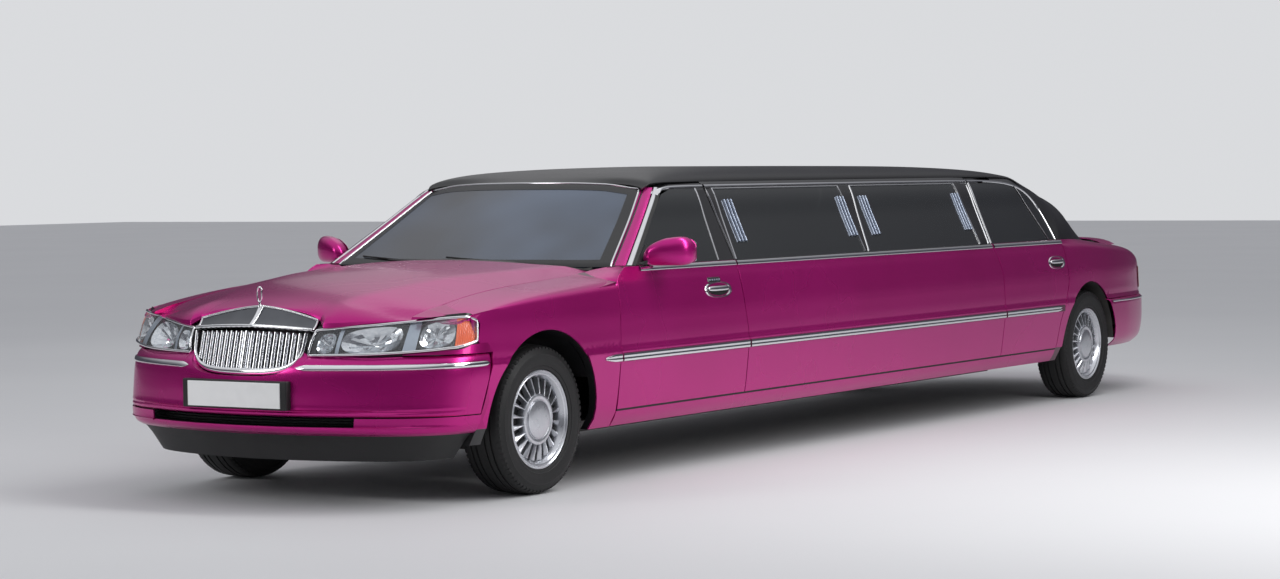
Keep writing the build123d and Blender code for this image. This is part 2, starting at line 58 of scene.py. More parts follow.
lens = bpy.data.cameras.new("lens")
lens.sensor_width = SENSOR
lens.lens = FOCAL_PIXELS * SENSOR / PHOTO_WIDTH
lens.shift_y = (HORIZON_PIXEL - PHOTO_HEIGHT / 2) / PHOTO_WIDTH
lens.clip_end = LENS_REACH
camera = bpy.data.objects.new("camera", lens)
camera_turn = Matrix((right, up, -ahead)).transposed().to_4x4()
camera.matrix_world = Matrix.Translation(CAMERA_PLACE) @ camera_turn
bpy.context.scene.collection.objects.link(camera)
bpy.context.scene.camera = camera
bpy.context.scene.view_settings.view_transform = "Standard"


# Floor. A wide slab of smooth, pale, sealed concrete, swept clean, on which the car is parked.
# It is cast in one piece, so it has only faint clouds of tone and no joints.
class Reading:
    """A number or colour read over a surface. Sums written with it become nodes of its finish."""

    def __init__(self, finish, output):
        self.finish = finish
        self.output = output

    def sum(self, operation, *terms):
        return self.finish.node("Math", {"operation": operation}, dict(enumerate(terms)))

    def __add__(self, other):
        return self.sum("ADD", self, other)

    def __radd__(self, other):
        return self.sum("ADD", other, self)

    def __sub__(self, other):
        return self.sum("SUBTRACT", self, other)

    def __rsub__(self, other):
        return self.sum("SUBTRACT", other, self)

    def __mul__(self, other):
        return self.sum("MULTIPLY", self, other)

    def __rmul__(self, other):
        return self.sum("MULTIPLY", other, self)

    def __truediv__(self, other):
        return self.sum("DIVIDE", self, other)

    def __rtruediv__(self, other):
        return self.sum("DIVIDE", other, self)

    def __pow__(self, other):
        return self.sum("POWER", self, other)

    def __gt__(self, other):
        return self.sum("GREATER_THAN", self, other)

    def __lt__(self, other):
        return self.sum("LESS_THAN", self, other)


class Finish:
    """A named surface finish, with its plain settings and one way of adding any node."""

    def __init__(self, name, **settings):
        self.material = bpy.data.materials.new(name)
        self.material.use_nodes = True
        self.tree = self.material.node_tree
        self.shader = self.tree.nodes["Principled BSDF"]
        self.where = self.node("TexCoord", output="Object")
        self.set(**settings)

    def join(self, value, socket):
        if isinstance(value, Reading):
            self.tree.links.new(value.output, socket)
        elif socket.type == "RGBA":
            socket.default_value = (*value, 1.0)
        else:
            socket.default_value = value

    def set(self, **settings):
        """Sets or links the surface's sockets, whose labels are written with low lines."""
        for label, value in settings.items():
            self.join(value, self.shader.inputs[label.replace("_", " ")])

    def node(self, kind, settings=None, inputs=None, output=0):
        """Adds a node of that kind: its settings first, then the values or links of its sockets."""
        made = self.tree.nodes.new("ShaderNode" + kind)
        for key, value in (settings or {}).items():
            if key == "stops":
                for stop, (place, colour) in zip(made.color_ramp.elements, value):
                    stop.position = place
                    stop.color = (*colour, 1.0)
            else:
                setattr(made, key, value)
        for key, value in (inputs or {}).items():
            self.join(value, made.inputs[key])
        return Reading(self, made.outputs[output])

    def cloud(self, scale, detail=3.0, stretch=(1.0, 1.0, 1.0)):
        """Soft random tone from 0 to 1, with that many clouds to the metre."""
        placed = self.node("Mapping", None, {"Vector": self.where, "Scale": stretch})
        return self.node("TexNoise", None, {"Vector": placed, "Scale": scale, "Detail": detail})

    def blend(self, share, first, second):
        """The first colour where the share is 0 and the second where it is 1."""
        return self.node("Mix", {"data_type": "RGBA"}, {0: share, 6: first, 7: second}, 2)

    def tint(self, share, first, second, **sockets):
        """Colours the base between two tones by share, and sets other sockets."""
        self.set(Base_Color=self.blend(share, first, second), **sockets)

    def relief(self, height, depth, strength=1.0):
        """Raises the surface's normal by a height from 0 to 1, where 1 stands that many metres proud."""
        self.set(Normal=self.node("Bump", None, {"Height": height, "Distance": depth, "Strength": strength}))


concrete = Finish("pale_concrete", Roughness=0.62)
tone = concrete.cloud(0.35, 4.0)
concrete.tint(tone, (0.66, 0.66, 0.67), (0.72, 0.72, 0.725))
concrete.relief(concrete.cloud(90.0, 2.0), 0.0004)
floor_mesh = bmesh.new()
bmesh.ops.create_grid(floor_mesh, x_segments=1, y_segments=1, size=60)
slab_data = bpy.data.meshes.new("slab")
floor_mesh.to_mesh(slab_data)
floor_mesh.free()
slab_data.materials.append(concrete.material)
slab = bpy.data.objects.new("slab", slab_data)
bpy.context.scene.collection.objects.link(slab)


# Studio light. A plain pale room lights the car from all round. One long soft box hangs above its left
# flank, a smaller one stands by the nose and a faint one hangs behind its right, for calm runs of light.
ROOM_SHOWN = (0.70, 0.71, 0.73)
ROOM_LIGHT = (0.50, 0.51, 0.54)
room = bpy.data.worlds.new("room")
room.use_nodes = True
bpy.context.scene.world = room
room_nodes = room.node_tree.nodes
room_links = room.node_tree.links
rays = room_nodes.new("ShaderNodeLightPath")
either = room_nodes.new("ShaderNodeMath")
either.operation = "MAXIMUM"
any_ray = room_nodes.new("ShaderNodeMath")
any_ray.operation = "MAXIMUM"
room_links.new(rays.outputs["Is Camera Ray"], either.inputs[0])
room_links.new(rays.outputs["Is Glossy Ray"], either.inputs[1])
room_links.new(either.outputs[0], any_ray.inputs[0])
room_links.new(rays.outputs["Is Transmission Ray"], any_ray.inputs[1])
shown = room_nodes.new("ShaderNodeMix")
shown.data_type = "RGBA"
shown.inputs[6].default_value = (*ROOM_LIGHT, 1.0)
room_links.new(any_ray.outputs[0], shown.inputs[0])
room_links.new(shown.outputs[2], room_nodes["Background"].inputs["Color"])
outlook = room_nodes.new("ShaderNodeTexCoord")
apart = room_nodes.new("ShaderNodeSeparateXYZ")
rise = room_nodes.new("ShaderNodeMapRange")
rise.inputs["From Min"].default_value = 0.22
rise.inputs["From Max"].default_value = 0.85
rise.interpolation_type = "SMOOTHSTEP"
mirrored_room = room_nodes.new("ShaderNodeMix")
mirrored_room.data_type = "RGBA"
mirrored_room.inputs[6].default_value = (0.060, 0.060, 0.075, 1.0)
mirrored_room.inputs[7].default_value = (0.78, 0.79, 0.82, 1.0)
seen = room_nodes.new("ShaderNodeMix")
seen.data_type = "RGBA"
seen.inputs[6].default_value = (*ROOM_SHOWN, 1.0)
room_links.new(outlook.outputs["Generated"], apart.inputs[0])
room_links.new(apart.outputs[2], rise.inputs["Value"])
room_links.new(rise.outputs[0], mirrored_room.inputs[0])
room_links.new(rays.outputs["Is Glossy Ray"], seen.inputs[0])
room_links.new(mirrored_room.outputs[2], seen.inputs[7])
room_links.new(seen.outputs[2], shown.inputs[7])
for lamp_name, place, aim, width, depth, watts in (
    ("long_soft_box", (4.2, -1.5, 5.2), (0.4, 0.0, 0.6), 9.0, 1.6, 335.0),
    ("nose_soft_box", (-3.5, -9.5, 4.0), (0.0, -3.0, 0.6), 3.0, 2.0, 110.0),
    ("far_soft_box", (-5.5, 6.0, 6.5), (0.0, 1.5, 0.8), 9.0, 4.0, 45.0),
):
    lamp = bpy.data.lights.new(lamp_name, "AREA")
    lamp.shape = "RECTANGLE"
    lamp.size = width
    lamp.size_y = depth
    lamp.energy = watts
    holder = bpy.data.objects.new(lamp_name, lamp)
    facing = (Vector(aim) - Vector(place)).to_track_quat("-Z", "X")
    holder.matrix_world = Matrix.LocRotScale(Vector(place), facing, None)
    bpy.context.scene.collection.objects.link(holder)

# Underbody. Frame rails, floor pan, suspension, axle and propeller shaft are pressed and forged steel,
# welded together and sprayed with a dull black coating that has gone grey with road dust.
chassis_black = Finish("chassis_black", Roughness=0.6)
dust = chassis_black.cloud(9.0, 6.0)
chassis_black.tint(dust, (0.018, 0.018, 0.019), (0.07, 0.066, 0.06))
chassis_black.set(Roughness=0.45 + 0.35 * dust)
chassis_black.relief(chassis_black.cloud(260.0, 2.0), 0.0005)


def refinish(finish, *nodes):
    """Gives a piece that is shown as it was built its finish."""
    for node in nodes:
        frame["nodes"][node].data.materials.clear()
        frame["nodes"][node].data.materials.append(finish.material)


SIDES = (("left", 1), ("right", -1))
refinish(chassis_black, "floor", "front_suspension", "knuckle_left", "knuckle_right", "rear_axle")

# Exhaust. One long steel pipe with a box silencer, hung under the left of the floor on rubber loops.
# Heat has browned the steel and the box is a little brighter.
pipe_steel = Finish("pipe_steel", Metallic=0.85)
heat = pipe_steel.cloud(5.0, 5.0, (1.0, 0.4, 1.0))
pipe_steel.tint(heat, (0.30, 0.27, 0.24), (0.20, 0.14, 0.10))
pipe_steel.set(Roughness=0.38 + 0.3 * heat)
refinish(pipe_steel, "exhaust")

# Engine and gearbox. A cast block and housing, left as sand-cast metal with a film of oil and dust.
# They sit low between the front rails.
cast_metal = Finish("cast_metal", Metallic=0.6)
grit = cast_metal.cloud(40.0, 6.0)
cast_metal.tint(grit, (0.20, 0.20, 0.20), (0.33, 0.32, 0.31), Roughness=0.42 + 0.3 * grit)
cast_metal.relief(grit, 0.0012)
refinish(cast_metal, "engine")

# Body shell. Pressed steel panels, welded and hung on the frame, wrapped in a glossy magenta film.
# The film follows each panel into its shut lines. Behind the nose the shell is coloured a dark magenta as
# painted shade, so the gaps between the skins read dark; above the waist the doors are black.
wrap = Finish("magenta_wrap", Metallic=0.72, Coat_Weight=0.28, Coat_Roughness=0.09)
tint = wrap.cloud(1.6, 2.0)
WRAP_DEEP = (0.44, 0.005, 0.175)
WRAP_LIGHT = (0.56, 0.008, 0.235)
wrap.tint(tint, WRAP_DEEP, WRAP_LIGHT, Roughness=0.24 + 0.06 * tint)
wrap.relief(wrap.cloud(55.0, 1.0), 0.00005)
BELT_Z = 1.0
shell = Finish("wrapped_shell", Coat_Weight=0.3, Coat_Roughness=0.03)
height = shell.node("SeparateXYZ", None, {0: shell.where}, 2)
along = shell.node("SeparateXYZ", None, {0: shell.where}, 1)
hidden = height > BELT_Z + 0.001
for arch_y, arch_z, arch_r in ((-3.2485, 0.332, 0.4195), (2.7675, 0.330, 0.4095)):
    out_y, out_z = along - arch_y, height - arch_z
    hidden = hidden.sum("MAXIMUM", hidden, (out_y * out_y + out_z * out_z) < arch_r ** 2)
hidden = hidden.sum("MAXIMUM", hidden, (height < 0.335) * (along < -3.6))
# Painted shade: behind the nose the shell is a dark magenta, so the shut lines between the skins read dark.
SHUT_SHADE = (0.085, 0.002, 0.034)
ahead = along < -2.655
shell_gap_shade_tone = shell.blend(ahead, SHUT_SHADE, WRAP_DEEP)
shell.tint(hidden, shell_gap_shade_tone, (0.008, 0.008, 0.009))
shell.set(Metallic=(0.4 + 0.4 * ahead) * (1 - hidden), Roughness=0.28 + 0.05 * shell.cloud(30.0))
for side, sign in SIDES:
    refinish(shell, "front_wing_" + side, "side_panel_" + side)
    refinish(shell, "front_door_" + side, "rear_door_" + side)
refinish(shell, "bonnet", "boot_lid", "front_bumper", "rear_bumper")

# Wheels. One-piece cast alloy, lacquered silver: a deep barrel with a polished lip, twenty blades like a
# turbine's, and a plain pressed cap on the hub. Each is bolted to its spindle behind the cap.
JOINT_AT = {joint["name"]: Vector(joint["pos_m"]) for joint in frame["joints"]}
AXLE_Y = JOINT_AT["spin_front_left"].y
WHEELBASE = JOINT_AT["spin_rear_left"].y - AXLE_Y
HUB_Z = JOINT_AT["spin_front_left"].z


WELD = 1e-5


def turned(profile, steps, closed=True):
    """Spins an outline of (out, radius) points about the X axis, as on a lathe."""
    bm = bmesh.new()
    corners = [bm.verts.new((x, 0, radius)) for x, radius in profile]
    pairs = list(zip(corners, corners[1:]))
    if closed:
        pairs.append((corners[-1], corners[0]))
    outline = [bm.edges.new(pair) for pair in pairs]
    bmesh.ops.spin(bm, geom=corners + outline, cent=(0, 0, 0), axis=(1, 0, 0), angle=math.tau, steps=steps,
                   use_merge=True)
    bmesh.ops.remove_doubles(bm, verts=bm.verts, dist=WELD)
    bmesh.ops.recalc_face_normals(bm, faces=bm.faces)
    return bm


def add(bm, other, finish_index=0):
    """Joins a second mesh into the first, under its own finish."""
    for face in other.faces:
        face.material_index = finish_index
    carrier = bpy.data.meshes.new("carrier")
    other.to_mesh(carrier)
    other.free()
    bm.from_mesh(carrier)
    bpy.data.meshes.remove(carrier)


def piece(name, bm, finishes, body, slot, stands_for=(), bevel=0.0, sharp=32, from_axle=True):
    """Makes the mesh an object that rides on a body. Its Y is counted from the front axle."""
    if from_axle:
        bmesh.ops.translate(bm, verts=bm.verts, vec=(0, AXLE_Y, 0))
    data = bpy.data.meshes.new(name)
    bm.to_mesh(data)
    bm.free()
    for finish in finishes if isinstance(finishes, tuple) else (finishes,):
        data.materials.append(finish.material)
    data.shade_smooth()
    data.set_sharp_from_angle(angle=math.radians(sharp))
    made = bpy.data.objects.new(name, data)
    bpy.context.scene.collection.objects.link(made)
    if bevel:
        rounding = made.modifiers.new("rounding", "BEVEL")
        rounding.width = bevel
        rounding.segments = 2
        rounding.limit_method = "ANGLE"
        rounding.angle_limit = math.radians(sharp)
        rounding.harden_normals = True
    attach(made, body)
    if stands_for:
        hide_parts(*stands_for)
    return made


def mirrored(bm):
    """The same mesh for the other side of the car."""
    other = bm.copy()
    bmesh.ops.scale(other, verts=other.verts, vec=(-1, 1, 1))
    bmesh.ops.reverse_faces(other, faces=other.faces)
    return other


def pair(name, bm, finishes, body, slot, stands_for=(), **looks):
    """Makes the left piece and its mirror image. Braces in a name or body take the side."""
    for side, sign in SIDES:
        mesh = mirrored(bm) if sign < 0 else bm.copy()
        label = name.format(side) if "{}" in name else name + "_" + side
        piece(label, mesh, finishes, body.format(side), slot, [node.format(side) for node in stands_for],
              **looks)
    bm.free()


alloy = Finish("silver_lacquer", Metallic=0.9, Coat_Weight=0.6, Coat_Roughness=0.08)
brush = alloy.cloud(60.0, 4.0)
alloy.tint(brush, (0.56, 0.58, 0.62), (0.68, 0.69, 0.72), Roughness=0.24 + 0.1 * brush)
well_dark = Finish("wheel_shadow_black", Base_Color=(0.012, 0.012, 0.013), Roughness=0.7)
well_dark.relief(well_dark.cloud(200.0), 0.0004)
BLADES = 20
BLADE_IN = 0.108
BLADE_OUT = 0.187
RIM_RING = [
    (-0.099, 0.214), (-0.099, 0.224), (-0.094, 0.225), (-0.088, 0.212), (-0.070, 0.204), (0.060, 0.204),
    (0.084, 0.212), (0.092, 0.224), (0.0985, 0.2235), (0.0995, 0.219), (0.096, 0.2145), (0.0925, 0.2125),
    (0.0925, 0.2095), (0.0945, 0.207), (0.0925, 0.202), (0.085, 0.197), (0.074, 0.190), (0.060, 0.1865),
    (0.040, 0.186), (-0.060, 0.190), (-0.084, 0.200),
]
HUB_PLATE = [
    (0.050, 0.030), (0.050, 0.112), (0.081, 0.1165), (0.0895, 0.1135), (0.0915, 0.108), (0.0905, 0.094),
    (0.0885, 0.0905), (0.0865, 0.0895), (0.0865, 0.0865), (0.0885, 0.0855), (0.0935, 0.0845),
    (0.0965, 0.074), (0.0990, 0.050), (0.1000, 0.025), (0.1003, 0.0),
]
wheel_mesh = turned(RIM_RING, 96)
add(wheel_mesh, turned(HUB_PLATE, 72, closed=False))
blade = bmesh.new()
bmesh.ops.create_grid(blade, x_segments=3, y_segments=5, size=0.5)
for corner in blade.verts:
    across, out = corner.co.x * 2, corner.co.y + 0.5
    half_width = 0.0035 + 0.0095 * out ** 1.6
    crown = 0.0885 - 0.013 * out - 0.006 * across ** 2 - 0.006 * across
    corner.co = (crown, across * half_width, BLADE_IN + (BLADE_OUT - BLADE_IN) * out)
bmesh.ops.recalc_face_normals(blade, faces=blade.faces)
root = bmesh.ops.extrude_edge_only(blade, edges=[edge for edge in blade.edges if edge.is_boundary])
for corner in root["geom"]:
    if isinstance(corner, bmesh.types.BMVert):
        corner.co.x = 0.052
for index in range(BLADES):
    turned_blade = blade.copy()
    bmesh.ops.rotate(turned_blade, verts=turned_blade.verts, cent=(0, 0, 0),
                     matrix=Matrix.Rotation(math.tau * (index + 0.5) / BLADES, 3, "X"))
    add(wheel_mesh, turned_blade)
blade.free()
add(wheel_mesh, turned([(0.050, 0.0), (0.050, 0.112), (0.048, 0.188), (0.040, 0.188), (0.040, 0.0)], 48,
                       closed=False), 1)

# Tyres. Moulded black rubber on a steel and cloth carcass: four grooves round the tread, blocks at the
# shoulders, and plain raised rings on the sidewalls. They are pressed on the rims and held by air.
rubber = Finish("tyre_rubber", Roughness=0.62)
wear = rubber.cloud(25.0, 5.0)
rubber.tint(wear, (0.005, 0.005, 0.0055), (0.014, 0.014, 0.014), Roughness=0.5 + 0.25 * wear)
rubber.relief(rubber.cloud(420.0, 2.0), 0.0003)
TREAD = [(0.094, 0.327), (0.082, 0.3315), (0.066, 0.3342)]
GROOVES = [(0.060, 0.3345), (0.030, 0.3372)]
half_tread = TREAD[:]
for groove_x, groove_r in GROOVES:
    half_tread += [(groove_x, groove_r), (groove_x - 0.001, groove_r - 0.007),
                   (groove_x - 0.008, groove_r - 0.007),
                   (groove_x - 0.009, groove_r + 0.0004)]
SIDEWALL = [
    (0.084, 0.209), (0.084, 0.227), (0.1005, 0.2265), (0.1035, 0.231), (0.105, 0.240), (0.1085, 0.2425),
    (0.1085, 0.2465),
    (0.108, 0.250), (0.1115, 0.262), (0.112, 0.276), (0.1115, 0.290), (0.1125, 0.2915), (0.1125, 0.2955),
    (0.1095, 0.299), (0.105, 0.311), (0.099, 0.3205),
]
outer_half = SIDEWALL + half_tread
inner_half = [(-x, radius) for x, radius in reversed(outer_half)]
tyre_profile = outer_half + inner_half + [(-0.068, 0.203), (0.068, 0.203)]
tyre_mesh = turned(tyre_profile, 96)
SHOULDER_BLOCKS = 72
notch = bmesh.new()
bmesh.ops.create_cube(notch, size=1.0)
for corner in notch.verts:
    corner.co = (0.094 + corner.co.x * 0.016, corner.co.y * (0.017 if corner.co.x > 0 else 0.02),
                 0.3225 + corner.co.z * 0.012 + (0.0035 if corner.co.x < 0 else -0.004))
for index in range(SHOULDER_BLOCKS):
    for turn in (0, 1):
        block = notch.copy()
        if turn:
            bmesh.ops.rotate(block, verts=block.verts, cent=(0, 0, 0),
                             matrix=Matrix.Rotation(math.pi, 3, "Z"))
        bmesh.ops.rotate(block, verts=block.verts, cent=(0, 0, 0),
                         matrix=Matrix.Rotation(math.tau * (index + turn / 2) / SHOULDER_BLOCKS, 3, "X"))
        add(tyre_mesh, block)
notch.free()
FRONT_TRACK = JOINT_AT["spin_front_left"].x
REAR_TRACK = JOINT_AT["spin_rear_left"].x
for end, track, along in (("front", FRONT_TRACK, 0.0), ("rear", REAR_TRACK, WHEELBASE)):
    for name, mesh, finishes, slot, round_edge in (
        ("wheel", wheel_mesh, (alloy, well_dark), "alloy", 0.0006),
        ("tyre", tyre_mesh, (rubber,), "tyre", 0.0),
    ):
        placed = mesh.copy()
        bmesh.ops.translate(placed, verts=placed.verts, vec=(track, along, HUB_Z))
        pair(end + "_" + ("rim" if name == "wheel" else "tread") + "_{}", placed, finishes,
             end + "_{}_wheel", slot,
             [end + "_" + name + "_{}"], bevel=round_edge)
wheel_mesh.free()
tyre_mesh.free()

# Front wings. Pressed steel, bolted to the inner body behind the bumper, with a rolled lip round the wheel
# arch, a soft ledge under the waist and a crowned top that meets the bonnet. Plastic liners sit inside.
SHUT = 0.006
SHEET = 0.007


def through(*knots):
    """A smooth curve through (place, value) knots that never swings past them."""
    places = [knot[0] for knot in knots]
    values = [knot[1] for knot in knots]
    steps = [b - a for a, b in zip(places, places[1:])]
    rises = [(b - a) / step for a, b, step in zip(values, values[1:], steps)]
    slopes = [rises[0]]
    for index in range(1, len(rises)):
        before, after = rises[index - 1], rises[index]
        if before * after <= 0:
            slopes.append(0.0)
        else:
            near = 2 * steps[index] + steps[index - 1]
            far = steps[index] + 2 * steps[index - 1]
            slopes.append((near + far) / (near / before + far / after))
    slopes.append(rises[-1])

    def value(place):
        place = min(max(place, places[0]), places[-1])
        index = max(i for i in range(len(steps)) if place >= places[i] - 1e-12)
        step = steps[index]
        t = (place - places[index]) / step
        return ((2 * t ** 3 - 3 * t ** 2 + 1) * values[index]
                + (t ** 3 - 2 * t ** 2 + t) * step * slopes[index]
                + (3 * t ** 2 - 2 * t ** 3) * values[index + 1]
                + (t ** 3 - t ** 2) * step * slopes[index + 1])

    return value


def path(*knots):
    """A curve through points in a plane or in space, one unit of way from knot to knot."""
    axes = [through(*[(index, knot[axis]) for index,
                      knot in enumerate(knots)]) for axis in range(len(knots[0]))]
    return lambda way: Vector([axis(way) for axis in axes])


def steps_between(low, high, count):
    return [low + (high - low) * index / count for index in range(count + 1)]


def patch(bm, columns, rows, place):
    """Lays a grid of those columns and rows on a surface, and gives its corners."""
    made = bmesh.ops.create_grid(bm, x_segments=len(columns) - 1, y_segments=len(rows) - 1, size=0.5)
    for corner in made["verts"]:
        column = columns[round((corner.co.x + 0.5) * (len(columns) - 1))]
        row = rows[round((corner.co.y + 0.5) * (len(rows) - 1))]
        corner.co = place(column, row)
    return made["verts"]


def laid(*spans):
    """A new mesh with one patch in it."""
    bm = bmesh.new()
    patch(bm, *spans)
    return bm


LOOSE_WELD = 2e-4


def face_outwards(bm, outwards):
    """Turns every face of an open sheet the way that most of it should look."""
    bmesh.ops.remove_doubles(bm, verts=bm.verts, dist=LOOSE_WELD)
    bmesh.ops.recalc_face_normals(bm, faces=bm.faces)
    side = sum(face.normal.dot(outwards) * face.calc_area() for face in bm.faces)
    if side < 0:
        bmesh.ops.reverse_faces(bm, faces=bm.faces)


def walled(bm, outwards, wall=SHEET):
    """Gives an open sheet its thickness, inwards from the side that shows."""
    face_outwards(bm, outwards)
    bmesh.ops.solidify(bm, geom=bm.faces[:], thickness=wall)
    return bm


FLANK = through((0.262, 0.909), (0.300, 0.934), (0.340, 0.949), (0.450, 0.966), (0.560, 0.979),
                (0.618, 0.987),
                (0.630, 0.981), (0.665, 0.980), (0.700, 0.978), (0.800, 0.9725), (0.870, 0.959),
                (0.936, 0.943), (0.948, 0.938), (0.975, 0.929), (1.000, 0.920), (1.060, 0.904))
TAPER = through((-0.95, 0.50), (-0.81, 0.71), (-0.63, 0.927), (-0.40, 0.977), (0.19, 1.0), (5.638, 1.0),
                (6.25, 0.981), (6.60, 0.952), (6.88, 0.907), (7.14, 0.822), (7.29, 0.690), (7.34, 0.60))
CREASES = (0.610, 0.624, 0.640, 0.665)


def flank(y, z, proud=0.0):
    """The body side's place at that Y and height."""
    return Vector((FLANK(z) * TAPER(y) + proud, y, z))


def cut_at_creases(bm):
    """Cuts a flat side-view sheet along the ledge, so that the ledge is crisp."""
    for level in CREASES:
        bmesh.ops.bisect_plane(bm, geom=bm.verts[:] + bm.edges[:] + bm.faces[:], dist=1e-4,
                               plane_co=(0, 0, level),
                               plane_no=(0, 0, 1))


def rolled_top(outer, inner, square=0.92):
    """A cross section that rolls from the flank over a rounded shoulder to the lid's shut line."""
    low = flank(*outer)
    corner = Vector((flank(outer[0], outer[1] + 0.035).x, (outer[0] + inner[1]) / 2, inner[2] - 0.028))
    high = Vector(inner)
    first = low.lerp(corner, square)
    second = high.lerp(corner, square)

    def place(t):
        return (low * (1 - t) ** 3 + first * (3 * t * (1 - t) ** 2) + second * (3 * t ** 2 * (1 - t))
                + high * t ** 3)

    return place


def shoulder(bm, outer, inner, ways, rows):
    """Lays the rolled top between an outer path in the side view and the lid's shut line."""
    sections = {way: rolled_top(outer(way), inner(way)) for way in ways}
    patch(bm, ways, rows, lambda way, row: sections[way](row))


FRONT_ARCH_Y, FRONT_ARCH_Z, FRONT_ARCH_R = -0.030, 0.332, 0.412
BONNET_HALF = 0.726
WING_IN_X = BONNET_HALF + 0.007
SPAN = 5
wing_rear = [(-9.8, 0.551, 0.262), (25.0, 0.551, 0.610), (36.0, 0.562, 0.780)]
wing_top = [
    (43.0, (0.5745, 0.886), (WING_IN_X, 0.575, 0.967)), (52.0, (0.430, 0.880), (WING_IN_X, 0.430, 0.959)),
    (68.0, (0.200, 0.872), (WING_IN_X, 0.200, 0.945)), (80.0, (-0.060, 0.866), (WING_IN_X, -0.060, 0.928)),
    (92.0, (-0.280, 0.858), (WING_IN_X, -0.290, 0.904)),
    (102.0, (-0.440, 0.848), (WING_IN_X, -0.460, 0.877)),
    (109.0, (-0.515, 0.838), (WING_IN_X, -0.600, 0.846)),
    (116.0, (-0.560, 0.828), (WING_IN_X, -0.672, 0.818)),
]
wing_front = [
    (118.5, -0.499, 0.797), (123.0, -0.517, 0.718), (127.0, -0.484, 0.689), (131.0, -0.431, 0.672),
    (152.0, -0.438, 0.612), (171.0, -0.470, 0.460), (179.7, -0.511, 0.334),
]
outline = wing_rear + [(angle, *outer) for angle, outer, inner in wing_top] + wing_front
outline_path = path(*[(y, z) for angle, y, z in outline])
top_first, top_last = len(wing_rear), len(wing_rear) + len(wing_top) - 1
wing = bmesh.new()


def straight(knots, way):
    """A point on the straight runs between knots."""
    index = min(int(way), len(knots) - 2)
    first, second = Vector(knots[index]), Vector(knots[index + 1])
    return first.lerp(second, way - index)


def wing_side(way, share):
    """Between the arch's lip, share 0, and the wing's outline, share 1, in the side view."""
    angle, y, z = straight(outline, way)
    turn = math.radians(angle)
    lip = Vector((0, FRONT_ARCH_Y + FRONT_ARCH_R * math.cos(turn),
                  FRONT_ARCH_Z + FRONT_ARCH_R * math.sin(turn)))
    if top_first < way < top_last:
        y, z = outline_path(way)
    return lip.lerp(Vector((0, y, z)), share)


patch(wing, steps_between(0, len(outline) - 1, SPAN * (len(outline) - 1)), steps_between(0, 1, 12),
      wing_side)
cut_at_creases(wing)
for corner in wing.verts:
    corner.co = flank(corner.co.y, corner.co.z)
wing_shut_line = path(*[inner for angle, outer, inner in wing_top])
shoulder(wing, outline_path, lambda way: wing_shut_line(way - top_first),
         steps_between(top_first, top_last, SPAN * (top_last - top_first)), steps_between(0, 1, 12))
walled(wing, Vector((1, 0, 0.3)))
pair("wing_skin", wing, wrap, "car", "paint", bevel=0.002)

# The strip of wing beside the windscreen's foot, which runs back to the pillar over the door's front corner.
wing_tail = bmesh.new()
tail_outer = path((0.9555, 0.5745, 0.886), (0.9430, 0.588, 0.934), (0.9315, 0.624, 0.966),
                  (0.9215, 0.668, 0.992), (0.872, 0.704, 1.001), (0.832, 0.724, 1.001))
tail_inner = path((WING_IN_X, 0.575, 0.967), (WING_IN_X, 0.600, 0.970), (WING_IN_X + 0.004, 0.640, 0.978),
                  (WING_IN_X + 0.012, 0.670, 0.984), (WING_IN_X + 0.030, 0.690, 0.989),
                  (WING_IN_X + 0.050, 0.704, 0.993))


def cubic(low, first, second, high, share):
    """A point of the cubic curve from low to high that first and second pull."""
    rest = 1 - share
    return (low * rest ** 3 + first * (3 * share * rest ** 2) + second * (3 * share ** 2 * rest)
            + high * share ** 3)


def tail_place(way, share):
    low, high = tail_outer(way), tail_inner(way)
    left_over = 1 - way / 5
    corner = Vector((low.x - 0.006 - 0.02 * (1 - left_over), (low.y + high.y) / 2,
                     high.z + 0.006 - 0.034 * left_over))
    first, second = low.lerp(corner, 0.55 + 0.37 * left_over), high.lerp(corner, 0.55 + 0.37 * left_over)
    return cubic(low, first, second, high, share)


patch(wing_tail, steps_between(0, 5, 25), steps_between(0, 1, 10), tail_place)
pair("wing_tail_skin", walled(wing_tail, Vector((0.4, 0, 1)), 0.005), wrap, "car", "paint", bevel=0.001)

# Long side panels and sills. The stretch is one folded and welded steel side between the doors, on a box
# sill that runs under every door; a black strip laid where the sill meets the panels is painted shade of
# that gap.
LEVELS = [0.342, 0.350, 0.380, 0.420, 0.460, 0.500, 0.540, 0.575, 0.600, 0.610, 0.617, 0.624, 0.632, 0.645,
          0.665,
          0.70, 0.74, 0.78, 0.82, 0.86, 0.89, 0.915, 0.932, 0.940, 0.948, 0.958, 0.970, 0.985, 1.000]
FRONT_DOOR_LEAD = through((0.339, 0.562), (0.610, 0.557), (0.800, 0.569), (0.940, 0.592), (0.972, 0.632),
                          (1.0, 0.684))
FRONT_DOOR_TRAIL = through((0.339, 1.730), (0.640, 1.726), (0.830, 1.700), (1.000, 1.700))
REAR_DOOR_LEAD = through((0.339, 4.712), (0.800, 4.717), (0.900, 4.700), (1.000, 4.655))
REAR_DOOR_TRAIL = through((0.339, 5.490), (0.500, 5.520), (0.640, 5.590), (0.760, 5.640), (1.000, 5.640))


LEFT = Vector((1, 0, 0))


def side_sheet(lead, trail, spans, levels=LEVELS, wall=SHEET):
    """A flank panel between a leading and a trailing edge, each a Y for a height."""
    bm = bmesh.new()
    patch(bm, levels, steps_between(0, 1, spans),
          lambda level, share: flank(lead(level) + (trail(level) - lead(level)) * share, level))
    return walled(bm, LEFT, wall)


